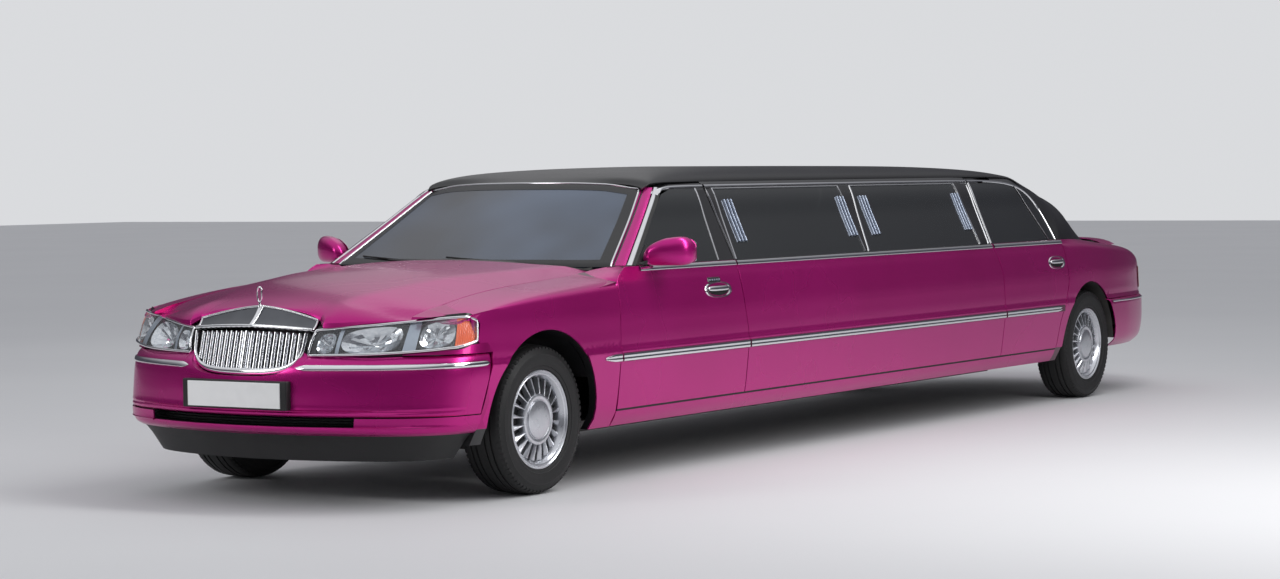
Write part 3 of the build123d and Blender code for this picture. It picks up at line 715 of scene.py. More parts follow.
pair("side_panel_skin",
     side_sheet(lambda z: FRONT_DOOR_TRAIL(z) + SHUT, lambda z: REAR_DOOR_LEAD(z) - SHUT, 60), wrap,
     "car", "paint", bevel=0.0015)
SILL_LEVELS = [0.262, 0.270, 0.282, 0.295, 0.310, 0.322, 0.330, 0.334]
pair("sill_skin", side_sheet(lambda z: 0.557, lambda z: 5.486, 70, SILL_LEVELS), wrap, "car", "paint",
     bevel=0.0015)
# Black for the rubber seals, and for thin sheets laid in gaps as painted shade.
black_seal_and_gap_shade = Finish("black_seal_and_gap_shade", Base_Color=(0.004, 0.004, 0.004), Roughness=0.6)
black_seal_and_gap_shade.relief(black_seal_and_gap_shade.cloud(150.0), 0.0003)
# Painted shade: a thin black strip in the gap between the sill and the panels.
pair("sill_gap_shade", side_sheet(lambda z: 0.560, lambda z: 5.484, 60, [0.3335, 0.338, 0.3425], 0.012),
     black_seal_and_gap_shade,
     "car", "trim")

# Doors. Each is a pressed skin folded round a frame, hung on two hinges at its front edge and sealed all
# round with black rubber; the windows' frames are part of the door.
for end, lead, trail in (("front", FRONT_DOOR_LEAD, FRONT_DOOR_TRAIL),
                         ("rear", REAR_DOOR_LEAD, REAR_DOOR_TRAIL)):
    pair(end + "_door_skin", side_sheet(lead, trail, 36), wrap, end + "_{}_door", "paint", bevel=0.0015)

# Rear quarters. Pressed steel from the rear door back round the wheel and the boot to the tail lamps,
# welded to the floor, with a rolled lip round the arch and a softly crowned top.
REAR_ARCH_Y, REAR_ARCH_Z, REAR_ARCH_R = WHEELBASE - 0.052, 0.330, 0.402
BUMPER_TOP_Z = 0.612
quarter_low = [2.0, 20.0, 38.0, 50.0, 62.0, 80.0, 100.0, 120.0, 135.5]
quarter_back = [6.52, 6.80, 7.05, 7.17, 7.25]
quarter_top = [
    ((5.646, 0.965), (0.913, 5.646, 1.001)), ((5.850, 0.952), (0.893, 5.850, 0.998)),
    ((6.050, 0.940), (0.853, 6.050, 0.991)), ((6.250, 0.924), (0.806, 6.250, 0.980)),
    ((6.450, 0.902), (0.757, 6.450, 0.968)), ((6.640, 0.879), (0.722, 6.640, 0.956)),
    ((6.830, 0.848), (0.708, 6.830, 0.944)), ((7.050, 0.806), (0.706, 7.040, 0.897)),
    ((7.170, 0.775), (0.706, 7.165, 0.838)), ((7.250, 0.748), (0.706, 7.245, 0.789)),
]
quarter_rim = [(5.496, 0.345), (5.526, 0.500), (5.596, 0.640),
               (5.646, 0.760)] + [knot[0] for knot in quarter_top]
low_angle = through(*[(index, angle) for index, angle in enumerate(quarter_low)])
low_back = through(*[(index + len(quarter_low) - 1, y) for index, y in enumerate([6.273] + quarter_back)])
rim_path = path(*quarter_rim)
quarter = bmesh.new()


def quarter_side(way, share):
    """Between the arch's lip or the bumper's top, share 0, and the quarter's outline, share 1."""
    if way <= len(quarter_low) - 1:
        turn = math.radians(low_angle(way))
        low = Vector((0, REAR_ARCH_Y - REAR_ARCH_R * math.cos(turn),
                      REAR_ARCH_Z + REAR_ARCH_R * math.sin(turn)))
    else:
        low = Vector((0, low_back(way), BUMPER_TOP_Z))
    return low.lerp(Vector((0, *rim_path(way))), share)


patch(quarter, steps_between(0, len(quarter_rim) - 1, 4 * (len(quarter_rim) - 1)), steps_between(0, 1, 12),
      quarter_side)
cut_at_creases(quarter)
for corner in quarter.verts:
    corner.co = flank(corner.co.y, corner.co.z)
quarter_shut_line = path(*[knot[1] for knot in quarter_top])
shoulder(quarter, rim_path, lambda way: quarter_shut_line(way - 4), steps_between(4, 13, 36),
         steps_between(0, 1, 12))
pair("quarter_skin", walled(quarter, Vector((1, 0, 0.3))), wrap, "car", "paint", ("rear_quarter_{}",),
     bevel=0.002)
wheelhouse = bmesh.new()


def wheelhouse_place(angle, x):
    turn = math.radians(angle)
    reach = REAR_ARCH_R + 0.010
    return Vector((x * TAPER(REAR_ARCH_Y), REAR_ARCH_Y - reach * math.cos(turn),
                   REAR_ARCH_Z + reach * math.sin(turn)))


patch(wheelhouse, steps_between(3, 176, 42), [0.600, 0.70, 0.80, 0.90, 0.950], wheelhouse_place)
patch(wheelhouse, steps_between(4, 175, 36), steps_between(0.36, 1, 5), lambda angle, part: Vector((
    0.600 * TAPER(REAR_ARCH_Y), REAR_ARCH_Y - (REAR_ARCH_R + 0.010) * part * math.cos(math.radians(angle)),
    REAR_ARCH_Z + (REAR_ARCH_R + 0.010) * part * math.sin(math.radians(angle)))))
UP = Vector((0, 0, 1))
pair("rear_wheelhouse", walled(wheelhouse, UP, 0.003), chassis_black, "car", "trim")
jamb = laid(steps_between(0.345, 0.99, 16), [0, 0.5, 1],
            lambda z, t: flank(REAR_DOOR_TRAIL(z) + SHUT + 0.001, z, -0.008 - 0.120 * t))
FORWARD = Vector((0, -1, 0))
face_outwards(jamb, FORWARD)
pair("rear_door_jamb", jamb, wrap, "car", "paint")

# Bonnet. One pressed steel skin folded over an inner frame, hinged at the windscreen's foot. Two soft
# creases run from the grille's corners to the pillars, and the front edge rolls down round the grille.
bonnet_middle = through((-0.84, 0.877), (-0.60, 0.928), (-0.30, 0.969), (0.0, 1.000), (0.40, 1.024),
                        (0.69, 1.038))
bonnet_edge = through((-0.69, 0.812), (-0.60, 0.846), (-0.44, 0.880), (-0.28, 0.905), (-0.06, 0.928),
                      (0.25, 0.948), (0.60, 0.968), (0.70, 0.974))
bonnet_front_y = through((0, -0.832), (0.20, -0.836), (0.338, -0.850), (0.375, -0.882), (0.55, -0.802),
                         (0.726, -0.682))
bonnet_front_z = through((0, 0.871), (0.20, 0.852), (0.338, 0.812), (0.375, 0.783), (0.55, 0.801),
                         (0.726, 0.815))
bonnet_rear_y = through((0, 0.532), (0.25, 0.548), (0.50, 0.584), (0.726, 0.684))
ridge_x = through((-0.85, 0.338), (-0.60, 0.385), (0.0, 0.50), (0.68, 0.63))
ridge_drop = through((-0.85, 0.12), (0.0, 0.28), (0.68, 0.52))
NOSE_ROLL = 0.14


def bonnet_place(across, share, inset=0.0, sink=0.0):
    """A point of the bonnet: across from -2 to 2 with its creases at -1 and 1, share from front to rear."""
    side = math.copysign(1.0, across)
    near = abs(across)
    half = BONNET_HALF - inset
    y = -0.6
    for _ in range(6):
        ridge = ridge_x(y)
        x = ridge * near if near <= 1 else ridge + (half - ridge) * (near - 1)
        front, rear = bonnet_front_y(x) + inset, bonnet_rear_y(x) - inset
        y = front + (rear - front) * share
    drop = ridge_drop(y) * (x / ridge) ** 2
    if x > ridge:
        drop = ridge_drop(y) + (1 - ridge_drop(y)) * (x - ridge) / (BONNET_HALF - ridge)
    z = bonnet_middle(y) - (bonnet_middle(y) - bonnet_edge(y)) * drop
    rolled = (y - bonnet_front_y(x)) / NOSE_ROLL
    if rolled < 1:
        z = bonnet_front_z(x) + (z - bonnet_front_z(x)) * math.sqrt(max(0.0, 1 - (1 - rolled) ** 2))
    return Vector((side * x, y, z - sink))


bonnet_columns = [index / 10 for index in range(-20, 21)]
bonnet_rows = [0, 0.004, 0.012, 0.024, 0.04, 0.06, 0.08, 0.10, 0.13] + steps_between(0.17, 1, 20)
bonnet = laid(bonnet_columns, bonnet_rows, bonnet_place)
piece("bonnet_skin", walled(bonnet, UP, 0.012), wrap, "bonnet_lid", "paint", ("bonnet",),
      bevel=0.002,
      sharp=20)
felt = Finish("black_felt", Roughness=0.95, Sheen_Weight=0.3)
fibre = felt.cloud(120.0, 6.0)
felt.tint(fibre, (0.010, 0.010, 0.011), (0.035, 0.034, 0.033))
felt.relief(fibre, 0.002)
lining = laid(bonnet_columns, steps_between(0.1, 0.96, 20), lambda across,
                      share: bonnet_place(across, share, 0.07, 0.022))
walled(lining, Vector((0, 0, -1)), 0.008)
piece("bonnet_lining", lining, felt, "bonnet_lid", "trim")

# Front bumper. A moulded plastic cover in body colour over a steel beam: a twin bead above the air slot, a
# joint line back to the wheel arch, a chin lip, and a black air dam below.
bumper_half = through((0.200, 0.820), (0.322, 0.925), (0.334, 0.940), (0.361, 0.951), (0.50, 0.967),
                      (0.59, 0.973), (0.640, 0.969), (0.662, 0.961))
bumper_nose = through((0.200, -0.915), (0.322, -0.975), (0.334, -1.002), (0.352, -1.018), (0.361, -1.021),
                      (0.366, -1.012),
                      (0.405, -1.014), (0.411, -1.029), (0.421, -1.034), (0.427, -1.027), (0.431, -1.027),
                      (0.437, -1.034), (0.448, -1.031), (0.50, -1.030), (0.59, -1.022), (0.625, -1.007),
                      (0.645, -0.992), (0.662, -0.962))
bumper_end_y = through((0.200, -0.512), (0.334, -0.512), (0.610, -0.441), (0.662, -0.436))
bumper_out = through((0, 0), (0.2, 0.25), (0.4, 0.50), (0.55, 0.70), (0.66, 0.81), (0.76, 0.882),
                     (0.85, 0.932), (0.93, 0.962), (1.0, 0.976))
bumper_back = through((0, 0), (0.2, 0.035), (0.4, 0.140), (0.55, 0.275), (0.66, 0.395), (0.76, 0.525),
                      (0.85, 0.67), (0.93, 0.83), (1.0, 1.0))


def bumper_place(way, z, proud=0.0):
    """A point of the front bumper: way from -1 at the right arch over 0 at the middle to 1 at the left."""
    near = abs(way)
    x = bumper_half(z) * bumper_out(near)
    y = bumper_nose(z) + (bumper_end_y(z) - bumper_nose(z)) * bumper_back(near)
    if proud:
        step = 0.01
        inner = near - step if near >= step else 0.0
        dx = bumper_half(z) * (bumper_out(inner + step) - bumper_out(inner))
        dy = (bumper_end_y(z) - bumper_nose(z)) * (bumper_back(inner + step) - bumper_back(inner))
        away = Vector((dy, -dx, 0)).normalized() * proud
        x, y = x + away.x, y + away.y
    return Vector((math.copysign(x, way) if way else 0.0, y, z))


def way_at(x, z=0.5):
    """How far round the bumper a given distance from the middle is."""
    low, high = 0.0, 1.0
    for _ in range(30):
        middle = (low + high) / 2
        if bumper_half(z) * bumper_out(middle) < x:
            low = middle
        else:
            high = middle
    return low


GRILLE_HALF = 0.332
SLOT_HALF = 0.574
GRILLE_NOTCH_Z = 0.572
notch_way, slot_way = way_at(GRILLE_HALF + 0.004), way_at(SLOT_HALF)
half_ways = (steps_between(0, notch_way, 8) + steps_between(notch_way, slot_way, 5)[1:]
             + steps_between(slot_way, 1, 18)[1:])
bumper_ways = [-way for way in half_ways[:0:-1]] + half_ways
cover_levels = [0.405, 0.408, 0.412, 0.417, 0.421, 0.424, 0.427, 0.431, 0.434, 0.437, 0.442, 0.448, 0.46,
                0.48, 0.50, 0.53,
                0.56, GRILLE_NOTCH_Z, 0.59, 0.61, 0.625, 0.638, 0.648, 0.656, 0.662]
cover = laid(bumper_ways, cover_levels, bumper_place)
notch = [face for face in cover.faces if abs(face.calc_center_median().x) < GRILLE_HALF
         and face.calc_center_median().z > GRILLE_NOTCH_Z]
bmesh.ops.delete(cover, geom=notch, context="FACES")
lip_levels = [0.322, 0.326, 0.330, 0.334, 0.340, 0.346, 0.352, 0.357, 0.361]
walled(cover, Vector((0, -1, 0.2)))
chin = laid(bumper_ways, lip_levels, bumper_place)
for side in (-1, 1):
    end_ways = [side * way for way in half_ways if way >= slot_way - 1e-9]
    patch(chin, end_ways, [0.361, 0.365, 0.372, 0.382, 0.392, 0.398, 0.4005], lambda way,
          z: bumper_place(way, z, 0.008))
add(cover, walled(chin, Vector((0, -1, 0.2))))
piece("front_bumper_cover", cover, wrap, "car", "paint", ("front_bumper",), bevel=0.0015, sharp=40)
black_plastic = Finish("grained_black_plastic", Roughness=0.5)
grain = black_plastic.cloud(380.0, 2.0)
black_plastic.tint(black_plastic.cloud(8.0), (0.006, 0.006, 0.0065), (0.013, 0.013, 0.0135))
black_plastic.set(Roughness=0.42 + 0.2 * grain)
black_plastic.relief(grain, 0.0005)
slot = bmesh.new()
slot_ways = [way for way in bumper_ways if abs(way) <= slot_way + 0.08]
patch(slot, slot_ways, [0.350, 0.386, 0.420], lambda way,
      z: bumper_place(way, 0.5, -0.06) + Vector((0, 0, z - 0.5)))
patch(slot, slot_ways, [0, 1], lambda way, t: bumper_place(way, 0.408 - 0.004 * t, -0.055 * t - 0.004))
patch(slot, slot_ways, [0, 1], lambda way, t: bumper_place(way, 0.360 + 0.004 * t, -0.055 * t - 0.004))
for level in (0.3725, 0.386, 0.3985):
    patch(slot, slot_ways, [0, 1], lambda way, t: bumper_place(way, level + 0.002 * t, -0.012 - 0.03 * t))
for side in (-1, 1):
    patch(slot, [side * slot_way, side * (slot_way + 0.012)], [0.362, 0.386, 0.406],
          lambda way, z: bumper_place(way, z, -0.004 if abs(way) > slot_way + 0.006 else -0.06))
    patch(slot, [side * way for way in half_ways if way >= slot_way - 0.02], [0.396, 0.409],
          lambda way, z: bumper_place(way, z, -0.004))
face_outwards(slot, FORWARD)
piece("front_air_slot", slot, black_plastic, "car", "trim")
dam = laid(bumper_ways, [0.205, 0.22, 0.25, 0.28, 0.305, 0.323], lambda way, z: bumper_place(way, z, -0.012))
piece("air_dam", walled(dam, FORWARD), black_plastic, "car", "trim", bevel=0.001)

# Bumper brightwork. Two thin strips of chromed plastic are clipped along the bumper's top edge under the
# lamps, pointed beside the grille and rounded at the wheel arch.
chrome = Finish("bright_chrome", Metallic=1.0)
smear = chrome.cloud(14.0, 4.0)
chrome.tint(smear, (0.78, 0.79, 0.81), (0.88, 0.88, 0.89), Roughness=0.05 + 0.08 * smear)
strip_ways = steps_between(way_at(0.300, 0.61), 1.0, 40)
strip = bmesh.new()


def strip_place(way, t):
    """Across the strip from its lower edge at -1 to its upper edge at 1."""
    start = strip_ways[0]
    along = (way - start) / (1 - start)
    swell = min(1.0, (along / 0.05) ** 0.6, (max(0.0, 1 - along) / 0.012) ** 0.5) + 1e-4
    middle = 0.6155 + 0.006 * along
    return bumper_place(way, middle + 0.0125 * swell * t, 0.002 + 0.006 * (1 - t ** 4) * swell)


patch(strip, strip_ways, steps_between(-1, 1, 8), strip_place)
pair("bumper_strip_{}", walled(strip, FORWARD, 0.006), chrome, "car", "chrome")

# Number plate. A blank white pressed plate clipped in a wider black plastic holder on the bumper.
plate_white = Finish("plate_white", Roughness=0.3, Coat_Weight=0.3)
plate_white.tint(plate_white.cloud(20.0), (0.80, 0.80, 0.79), (0.88, 0.88, 0.87))
plate_white.relief(plate_white.cloud(300.0), 0.0001)


def slab_piece(name, finish, slot_name, low, high, bevel, body="car", segments=3):
    """A flat moulded block between two corners, with its edges rounded."""
    bm = bmesh.new()
    bmesh.ops.create_cube(bm, size=1.0)
    for corner in bm.verts:
        corner.co = [low[axis] + (high[axis] - low[axis]) * (corner.co[axis] + 0.5) for axis in range(3)]
    bmesh.ops.bevel(bm, geom=bm.edges[:], offset=bevel, segments=segments, profile=0.5, affect="EDGES",
                    material=-1)
    return piece(name, bm, finish, body, slot_name)


slab_piece("plate_holder", black_plastic, "trim", (-0.293, -1.036, 0.433), (0.293, -1.000, 0.559), 0.006)
slab_piece("front_plate", plate_white, "trim", (-0.260, -1.040, 0.441), (0.260, -1.0335, 0.551), 0.0018)

# Grille. Die-cast zinc, chromed: a leaning surround that is heaviest at its foot, nine upright bars each
# side of a broad rib, and a peaked cap with two dark mirror panels. It is bolted to the nose panel.
GRILLE_LEAN = math.radians(14.0)
GRILLE_FOOT = Vector((0, -0.988, 0.578))
GRILLE_BOW = 0.045


def grille_place(x, rise, proud=0.0):
    """A point of the leaning, bowed grille: rise up its face and how far it stands forwards."""
    y = GRILLE_BOW * (x / 0.35) ** 2 - proud
    return GRILLE_FOOT + Vector((x, y * math.cos(GRILLE_LEAN) + rise * math.sin(GRILLE_LEAN),
                                 rise * math.cos(GRILLE_LEAN) - y * math.sin(GRILLE_LEAN)))


grille_half_outline = [(0, 0), (0.10, 0.0025), (0.19, 0.013), (0.25, 0.034), (0.290, 0.068), (0.312, 0.115),
                       (0.319, 0.196)]
grille_outline = path(*[(-x, rise) for x, rise in grille_half_outline[:0:-1]] + grille_half_outline)
outline_ways = steps_between(0, 2 * len(grille_half_outline) - 2, 96)
surround = bmesh.new()


def surround_place(way, turn):
    """Round the surround's section at turn, from 0 at its outer edge over its front to 1 inside."""
    here, after = grille_outline(way), grille_outline(min(way + 0.05, outline_ways[-1]))
    before = grille_outline(max(way - 0.05, 0))
    tangent = (after - before).normalized()
    inwards = Vector((-tangent.y, tangent.x))
    width = 0.017 + 0.013 * max(0.0, 1 - here.y / 0.09) ** 1.5
    spot = here + inwards * width * (0.5 - 0.5 * math.cos(turn * math.pi))
    return grille_place(spot.x, spot.y,
                        0.010 * math.sin(turn * math.pi) + (-0.018 if turn in (0, 1) else 0.004))


patch(surround, outline_ways, [0, 0.02, 0.12, 0.25, 0.40, 0.5, 0.60, 0.75, 0.88, 0.98, 1], surround_place)
face_outwards(surround, FORWARD)
piece("grille_surround", surround, chrome, "car", "chrome", ("grille",), sharp=50)
around_foot = bmesh.new()
foot_z = through(*[(x, grille_place(x, rise).z - 0.003) for x, rise in grille_half_outline[:-1]],
                 (GRILLE_HALF + 0.008, 0.661))
foot_xs = steps_between(-GRILLE_HALF - 0.006, GRILLE_HALF + 0.006, 60)
patch(around_foot, foot_xs, steps_between(0, 1, 8),
      lambda x, t: bumper_place(math.copysign(way_at(abs(x), 0.6), x), 0.570 + (foot_z(abs(x)) - 0.570) * t,
                                -0.0004))
patch(around_foot, foot_xs, [0, 1],
      lambda x, t: bumper_place(math.copysign(way_at(abs(x), 0.6), x), foot_z(abs(x)), -0.0004 - 0.03 * t))
face_outwards(around_foot, Vector((0, -1, 0.2)))
piece("grille_valance", around_foot, wrap, "car", "paint", sharp=50)
inner_rise = through(*[(x, rise) for x, rise in grille_half_outline[:-1]])
bars = bmesh.new()
BAR_PITCH = 0.0305
BARS_A_SIDE = 9
for index in range(-BARS_A_SIDE, BARS_A_SIDE + 1):
    middle_x = index * BAR_PITCH
    half_width = 0.0125 if index == 0 else 0.0086
    foot = inner_rise(abs(middle_x)) + 0.016
    patch(bars, steps_between(-1, 1, 8), steps_between(foot, 0.196, 6),
          lambda t, rise: grille_place(
              middle_x + half_width * t, rise,
              -0.030 + (0.030 if index else 0.036) * math.sqrt(max(0.0, 1 - t ** 4))))
face_outwards(bars, FORWARD)
piece("grille_bars", bars, chrome, "car", "chrome", sharp=60)
behind = laid(steps_between(-0.316, 0.316, 24), [0, 1],
              lambda x, t: grille_place(x, inner_rise(abs(x)) * (1 - t) + 0.194 * t, -0.034))
face_outwards(behind, FORWARD)
piece("grille_shadow", behind, black_plastic, "car", "trim")

dark_mirror = Finish("dark_mirror_chrome", Metallic=1.0, Roughness=0.06)
dark_mirror.tint(dark_mirror.cloud(10.0), (0.10, 0.105, 0.115), (0.17, 0.175, 0.19))
CAP_HALF = 0.330


def cap_place(x, t, lift=0.0):
    """The grille's cap from its front edge, t 0, up to its peaked rear edge, t 1."""
    side = abs(x) / CAP_HALF
    front = Vector((x, -0.916 + 0.026 * side ** 2, 0.786 - 0.014 * side ** 2))
    rear = Vector((x, -0.836 - 0.016 * side ** 2, 0.869 - 0.056 * side ** 1.5))
    hollow = -0.006 * math.sin(math.pi * t)
    return front.lerp(rear, t) + Vector((0, -0.6, 0.8)) * (hollow + lift)


cap = laid(steps_between(-CAP_HALF, CAP_HALF, 40), steps_between(0, 1, 8), cap_place)
piece("grille_cap", walled(cap, Vector((0, -1, 1)), 0.01), dark_mirror, "car", "chrome", sharp=50)


def tube(bm, points, radius, sides=10):
    """Adds a round bar along points, with its ends closed."""
    rings = []
    for index, point in enumerate(points):
        before, after = points[max(index - 1, 0)], points[min(index + 1, len(points) - 1)]
        tangent = (after - before).normalized()
        across = tangent.cross(Vector((0, 0, 1)))
        if across.length < 0.1:
            across = tangent.cross(Vector((0, 1, 0)))
        across.normalize()
        over = across.cross(tangent)
        size = radius(index / (len(points) - 1)) if callable(radius) else radius
        ring = bmesh.ops.create_circle(bm, segments=sides, radius=size)["verts"]
        for corner in ring:
            corner.co = point + across * corner.co.x + over * corner.co.y
        rings.append(ring)
    for first, second in zip(rings, rings[1:]):
        edges = {edge for ring in (first, second) for corner in ring for edge in corner.link_edges
                 if edge.other_vert(corner) in ring}
        bmesh.ops.bridge_loops(bm, edges=list(edges))
    for ring in (rings[0], rings[-1]):
        bmesh.ops.contextual_create(bm, geom=ring)
    bmesh.ops.recalc_face_normals(bm, faces=bm.faces)


cap_rim = bmesh.new()
xs = steps_between(-CAP_HALF, CAP_HALF, 32)
tube(cap_rim, [cap_place(x, 0.0, 0.003) for x in xs], 0.0085)
tube(cap_rim, [cap_place(x, 1.0, 0.002) for x in xs], 0.0055)
for side in (-1, 1):
    tube(cap_rim, [cap_place(side * CAP_HALF * 0.992, t, 0.001) for t in steps_between(0, 1, 8)], 0.006)
tube(cap_rim, [cap_place(0, t, 0.002) for t in steps_between(0, 1, 8)], lambda t: 0.009 + 0.006 * t, 12)
piece("grille_cap_rim", cap_rim, chrome, "car", "chrome", sharp=60)

# Bonnet ornament. A slim upright oblong ring, cast and chromed, on a short stem over the grille's peak.
ornament = bmesh.new()
ORNAMENT_Y = -0.850


def bent(value, power):
    """A power of value that keeps its sign."""
    return math.copysign(abs(value) ** power, value)


hoop = laid(steps_between(0, math.tau, 48), steps_between(0, math.tau, 10), lambda turn, round_turn: Vector((
    (0.0120 + 0.0034 * math.cos(round_turn)) * bent(math.sin(turn), 0.7),
    ORNAMENT_Y + 0.0040 * math.sin(round_turn),
    0.924 - (0.0320 + 0.0034 * math.cos(round_turn)) * bent(math.cos(turn), 0.7))))
bmesh.ops.remove_doubles(hoop, verts=hoop.verts, dist=WELD)
bmesh.ops.recalc_face_normals(hoop, faces=hoop.faces)
add(ornament, hoop)
tube(ornament, [Vector((0, ORNAMENT_Y, 0.862)), Vector((0, ORNAMENT_Y, 0.876)),
                Vector((0, ORNAMENT_Y, 0.894))],
     lambda t: 0.009 - 0.0055 * t, 12)
piece("bonnet_ornament", ornament, chrome, "car", "chrome", sharp=60)

# Headlamps. One long clear plastic lens over a bright bowl: a small round lamp, a many-sided main reflector,
# a silver band, a ribbed corner and an amber turn lamp, with a thick chromed bezel round all of it.
lamp_low = path((0.327, -0.930, 0.664), (0.45, -0.905, 0.666), (0.60, -0.865, 0.670), (0.75, -0.785, 0.678),
                (0.87, -0.690, 0.690), (0.925, -0.605, 0.702), (0.948, -0.532, 0.722))
lamp_high = path((0.342, -0.885, 0.774), (0.45, -0.845, 0.785), (0.60, -0.762, 0.798),
                 (0.726, -0.683, 0.810),
                 (0.85, -0.625, 0.824), (0.910, -0.570, 0.828), (0.934, -0.512, 0.808))
LAMP_KNOTS = 6
lamp_length = [0.0]
for index in range(120):
    near, far = lamp_low(index * LAMP_KNOTS / 120), lamp_low((index + 1) * LAMP_KNOTS / 120)
    lamp_length.append(lamp_length[-1] + (far - near).length)
lamp_way = through(*[(length / lamp_length[-1], index * LAMP_KNOTS / 120) for index,
                     length in enumerate(lamp_length)])


def lamp_place(f, t, deep=0.0):
    """A point of the headlamp: f from its inner end to its outer end, t from its lower to its upper edge."""
    low, high = lamp_low(lamp_way(f)), lamp_high(lamp_way(f))
    after, before = lamp_low(lamp_way(min(f + 0.02, 1))), lamp_low(lamp_way(max(f - 0.02, 0)))
    along = (after - before).normalized()
    out = Vector((-along.y, along.x, 0)).normalized() * -1.0
    if out.y > 0 and f < 0.7:
        out = -out
    lean = (high - low).normalized()
    out = (out - lean * out.dot(lean)).normalized()
    swell = 0.010 * (1 - (2 * t - 1) ** 2) * min(1.0, (1 - f) / 0.1)
    return low.lerp(high, t) + out * (swell - deep)


clear_lens = Finish("clear_lens", Roughness=0.03, IOR=1.45, Coat_Weight=0.6, Coat_Roughness=0.02)
haze = clear_lens.cloud(18.0, 3.0)
clear_lens.tint(haze, (0.80, 0.84, 0.88), (0.90, 0.92, 0.94), Alpha=0.045 + 0.03 * haze)
clear_lens.material.surface_render_method = "DITHERED"
bowl_bright = Finish("lamp_bowl_silver", Metallic=1.0)
bowl_tone = bowl_bright.cloud(70.0, 2.0)
bowl_bright.tint(bowl_tone, (0.52, 0.57, 0.62), (0.90, 0.92, 0.93))
bowl_bright.set(Roughness=0.06 + 0.14 * bowl_tone)
amber = Finish("amber_lens", Roughness=0.08, Coat_Weight=0.8, Coat_Roughness=0.02)
amber_tone = amber.cloud(45.0, 2.0)
amber.tint(amber_tone, (0.74, 0.060, 0.001), (0.90, 0.130, 0.002))
amber.set(Emission_Color=(0.9, 0.16, 0.002), Emission_Strength=0.14)
band_grey = Finish("lamp_band_grey", Metallic=0.7, Roughness=0.32)
band_grey.tint(band_grey.cloud(12.0), (0.34, 0.40, 0.48), (0.44, 0.50, 0.57))
lamp_black = Finish("lamp_black", Roughness=0.25)
lamp_black.tint(lamp_black.cloud(30.0), (0.006, 0.006, 0.007), (0.016, 0.016, 0.018))


def dish(bm, middle, reach, depth, columns, rows, rim=0.010):
    """A hollow round or oblong reflector cut into the lamp, with flat facets."""
    def place(turn, out):
        f = middle[0] + reach[0] * out * bent(math.cos(turn), 0.75)
        t = middle[1] + reach[1] * out * bent(math.sin(turn), 0.75)
        ripple = 0.0045 * math.cos(6 * turn) * math.sin(math.pi * out)
        return lamp_place(f, t, rim + depth * (1 - out ** 2) + ripple)
    patch(bm, steps_between(0, math.tau, columns), steps_between(0.02, 1, rows), place)


bowls = bmesh.new()
dish(bowls, (0.095, 0.47), (0.055, 0.36), 0.040, 20, 5)
dish(bowls, (0.355, 0.50), (0.170, 0.43), 0.050, 26, 5)
dish(bowls, (0.735, 0.50), (0.105, 0.40), 0.035, 22, 5)
bmesh.ops.remove_doubles(bowls, verts=bowls.verts, dist=WELD)
LAMP_FACE = Vector((0.3, -1, 0.2))
face_outwards(bowls, LAMP_FACE)
pair("lamp_bowl", bowls, bowl_bright, "car", "lamp", sharp=8)
bulbs = bmesh.new()
for f, t, deep, radius in ((0.095, 0.47, 0.026, 0.010), (0.355, 0.50, 0.030, 0.013),
                           (0.735, 0.50, 0.022, 0.010)):
    ball = bmesh.new()
    bmesh.ops.create_uvsphere(ball, u_segments=18, v_segments=10, radius=radius)
    bmesh.ops.translate(ball, verts=ball.verts, vec=lamp_place(f, t, deep))
    add(bulbs, ball)
pair("lamp_bulb", bulbs, clear_lens, "car", "lamp")
backing = laid(steps_between(0.005, 0.995, 70), steps_between(0.03, 0.97, 6),
      lambda f, t: lamp_place(f, t, 0.064 if 0.3 < (2 * t - 1) ** 2 + 0.5 < 0.9 and f < 0.85 else 0.020))
face_outwards(backing, LAMP_FACE)
pair("lamp_backing", backing, lamp_black, "car", "lamp", sharp=30)
shades = laid(steps_between(0.548, 0.622, 6), steps_between(0.04, 0.96, 8), lambda f,
                      t: lamp_place(f, t, 0.007))
patch(shades, steps_between(0.160, 0.182, 3), steps_between(0.04, 0.96, 8), lambda f,
      t: lamp_place(f, t, 0.009))
face_outwards(shades, LAMP_FACE)
pair("lamp_band", shades, band_grey, "car", "lamp")
glow = laid(steps_between(0.845, 0.985, 60), steps_between(0.06, 0.94, 14),
            lambda f, t: lamp_place(f, t, 0.006 + 0.002 * math.sin(f * 420) * math.sin(math.pi * t)))
face_outwards(glow, Vector((0.6, -1, 0.2)))
pair("turn_lamp", glow, amber, "car", "lamp", sharp=60)
ribs = laid(steps_between(0.645, 0.842, 96), steps_between(0.06, 0.94, 4),
            lambda f, t: lamp_place(f, t, 0.0055 + 0.0012 * math.cos(f * 720)))
face_outwards(ribs, Vector((0.5, -1, 0.2)))
pair("lamp_ribs", ribs, clear_lens, "car", "lamp", sharp=60)
lens_sheet = laid(steps_between(0, 1, 60), steps_between(0, 1, 12), lamp_place)
pair("lamp_lens", walled(lens_sheet, LAMP_FACE, 0.003), clear_lens, "car", "lamp",
     ("headlamp_{}",))


def loop_tube(bm, points, radius, sides=10):
    """Adds a round bar that closes on itself along points."""
    count = len(points)
    rings = []
    for index, point in enumerate(points):
        tangent = (points[(index + 1) % count] - points[index - 1]).normalized()
        across = tangent.cross(Vector((0.3, -1, 0.3))).normalized()
        over = across.cross(tangent)
        ring = [bm.verts.new(point + radius * (across * math.cos(math.tau * k / sides)
                                               + over * math.sin(math.tau * k / sides)))
                for k in range(sides)]
        rings.append(ring)
    for index in range(count):
        first, second = rings[index], rings[(index + 1) % count]
        for k in range(sides):
            bm.faces.new((first[k], first[(k + 1) % sides], second[(k + 1) % sides], second[k]))
    bmesh.ops.recalc_face_normals(bm, faces=bm.faces)


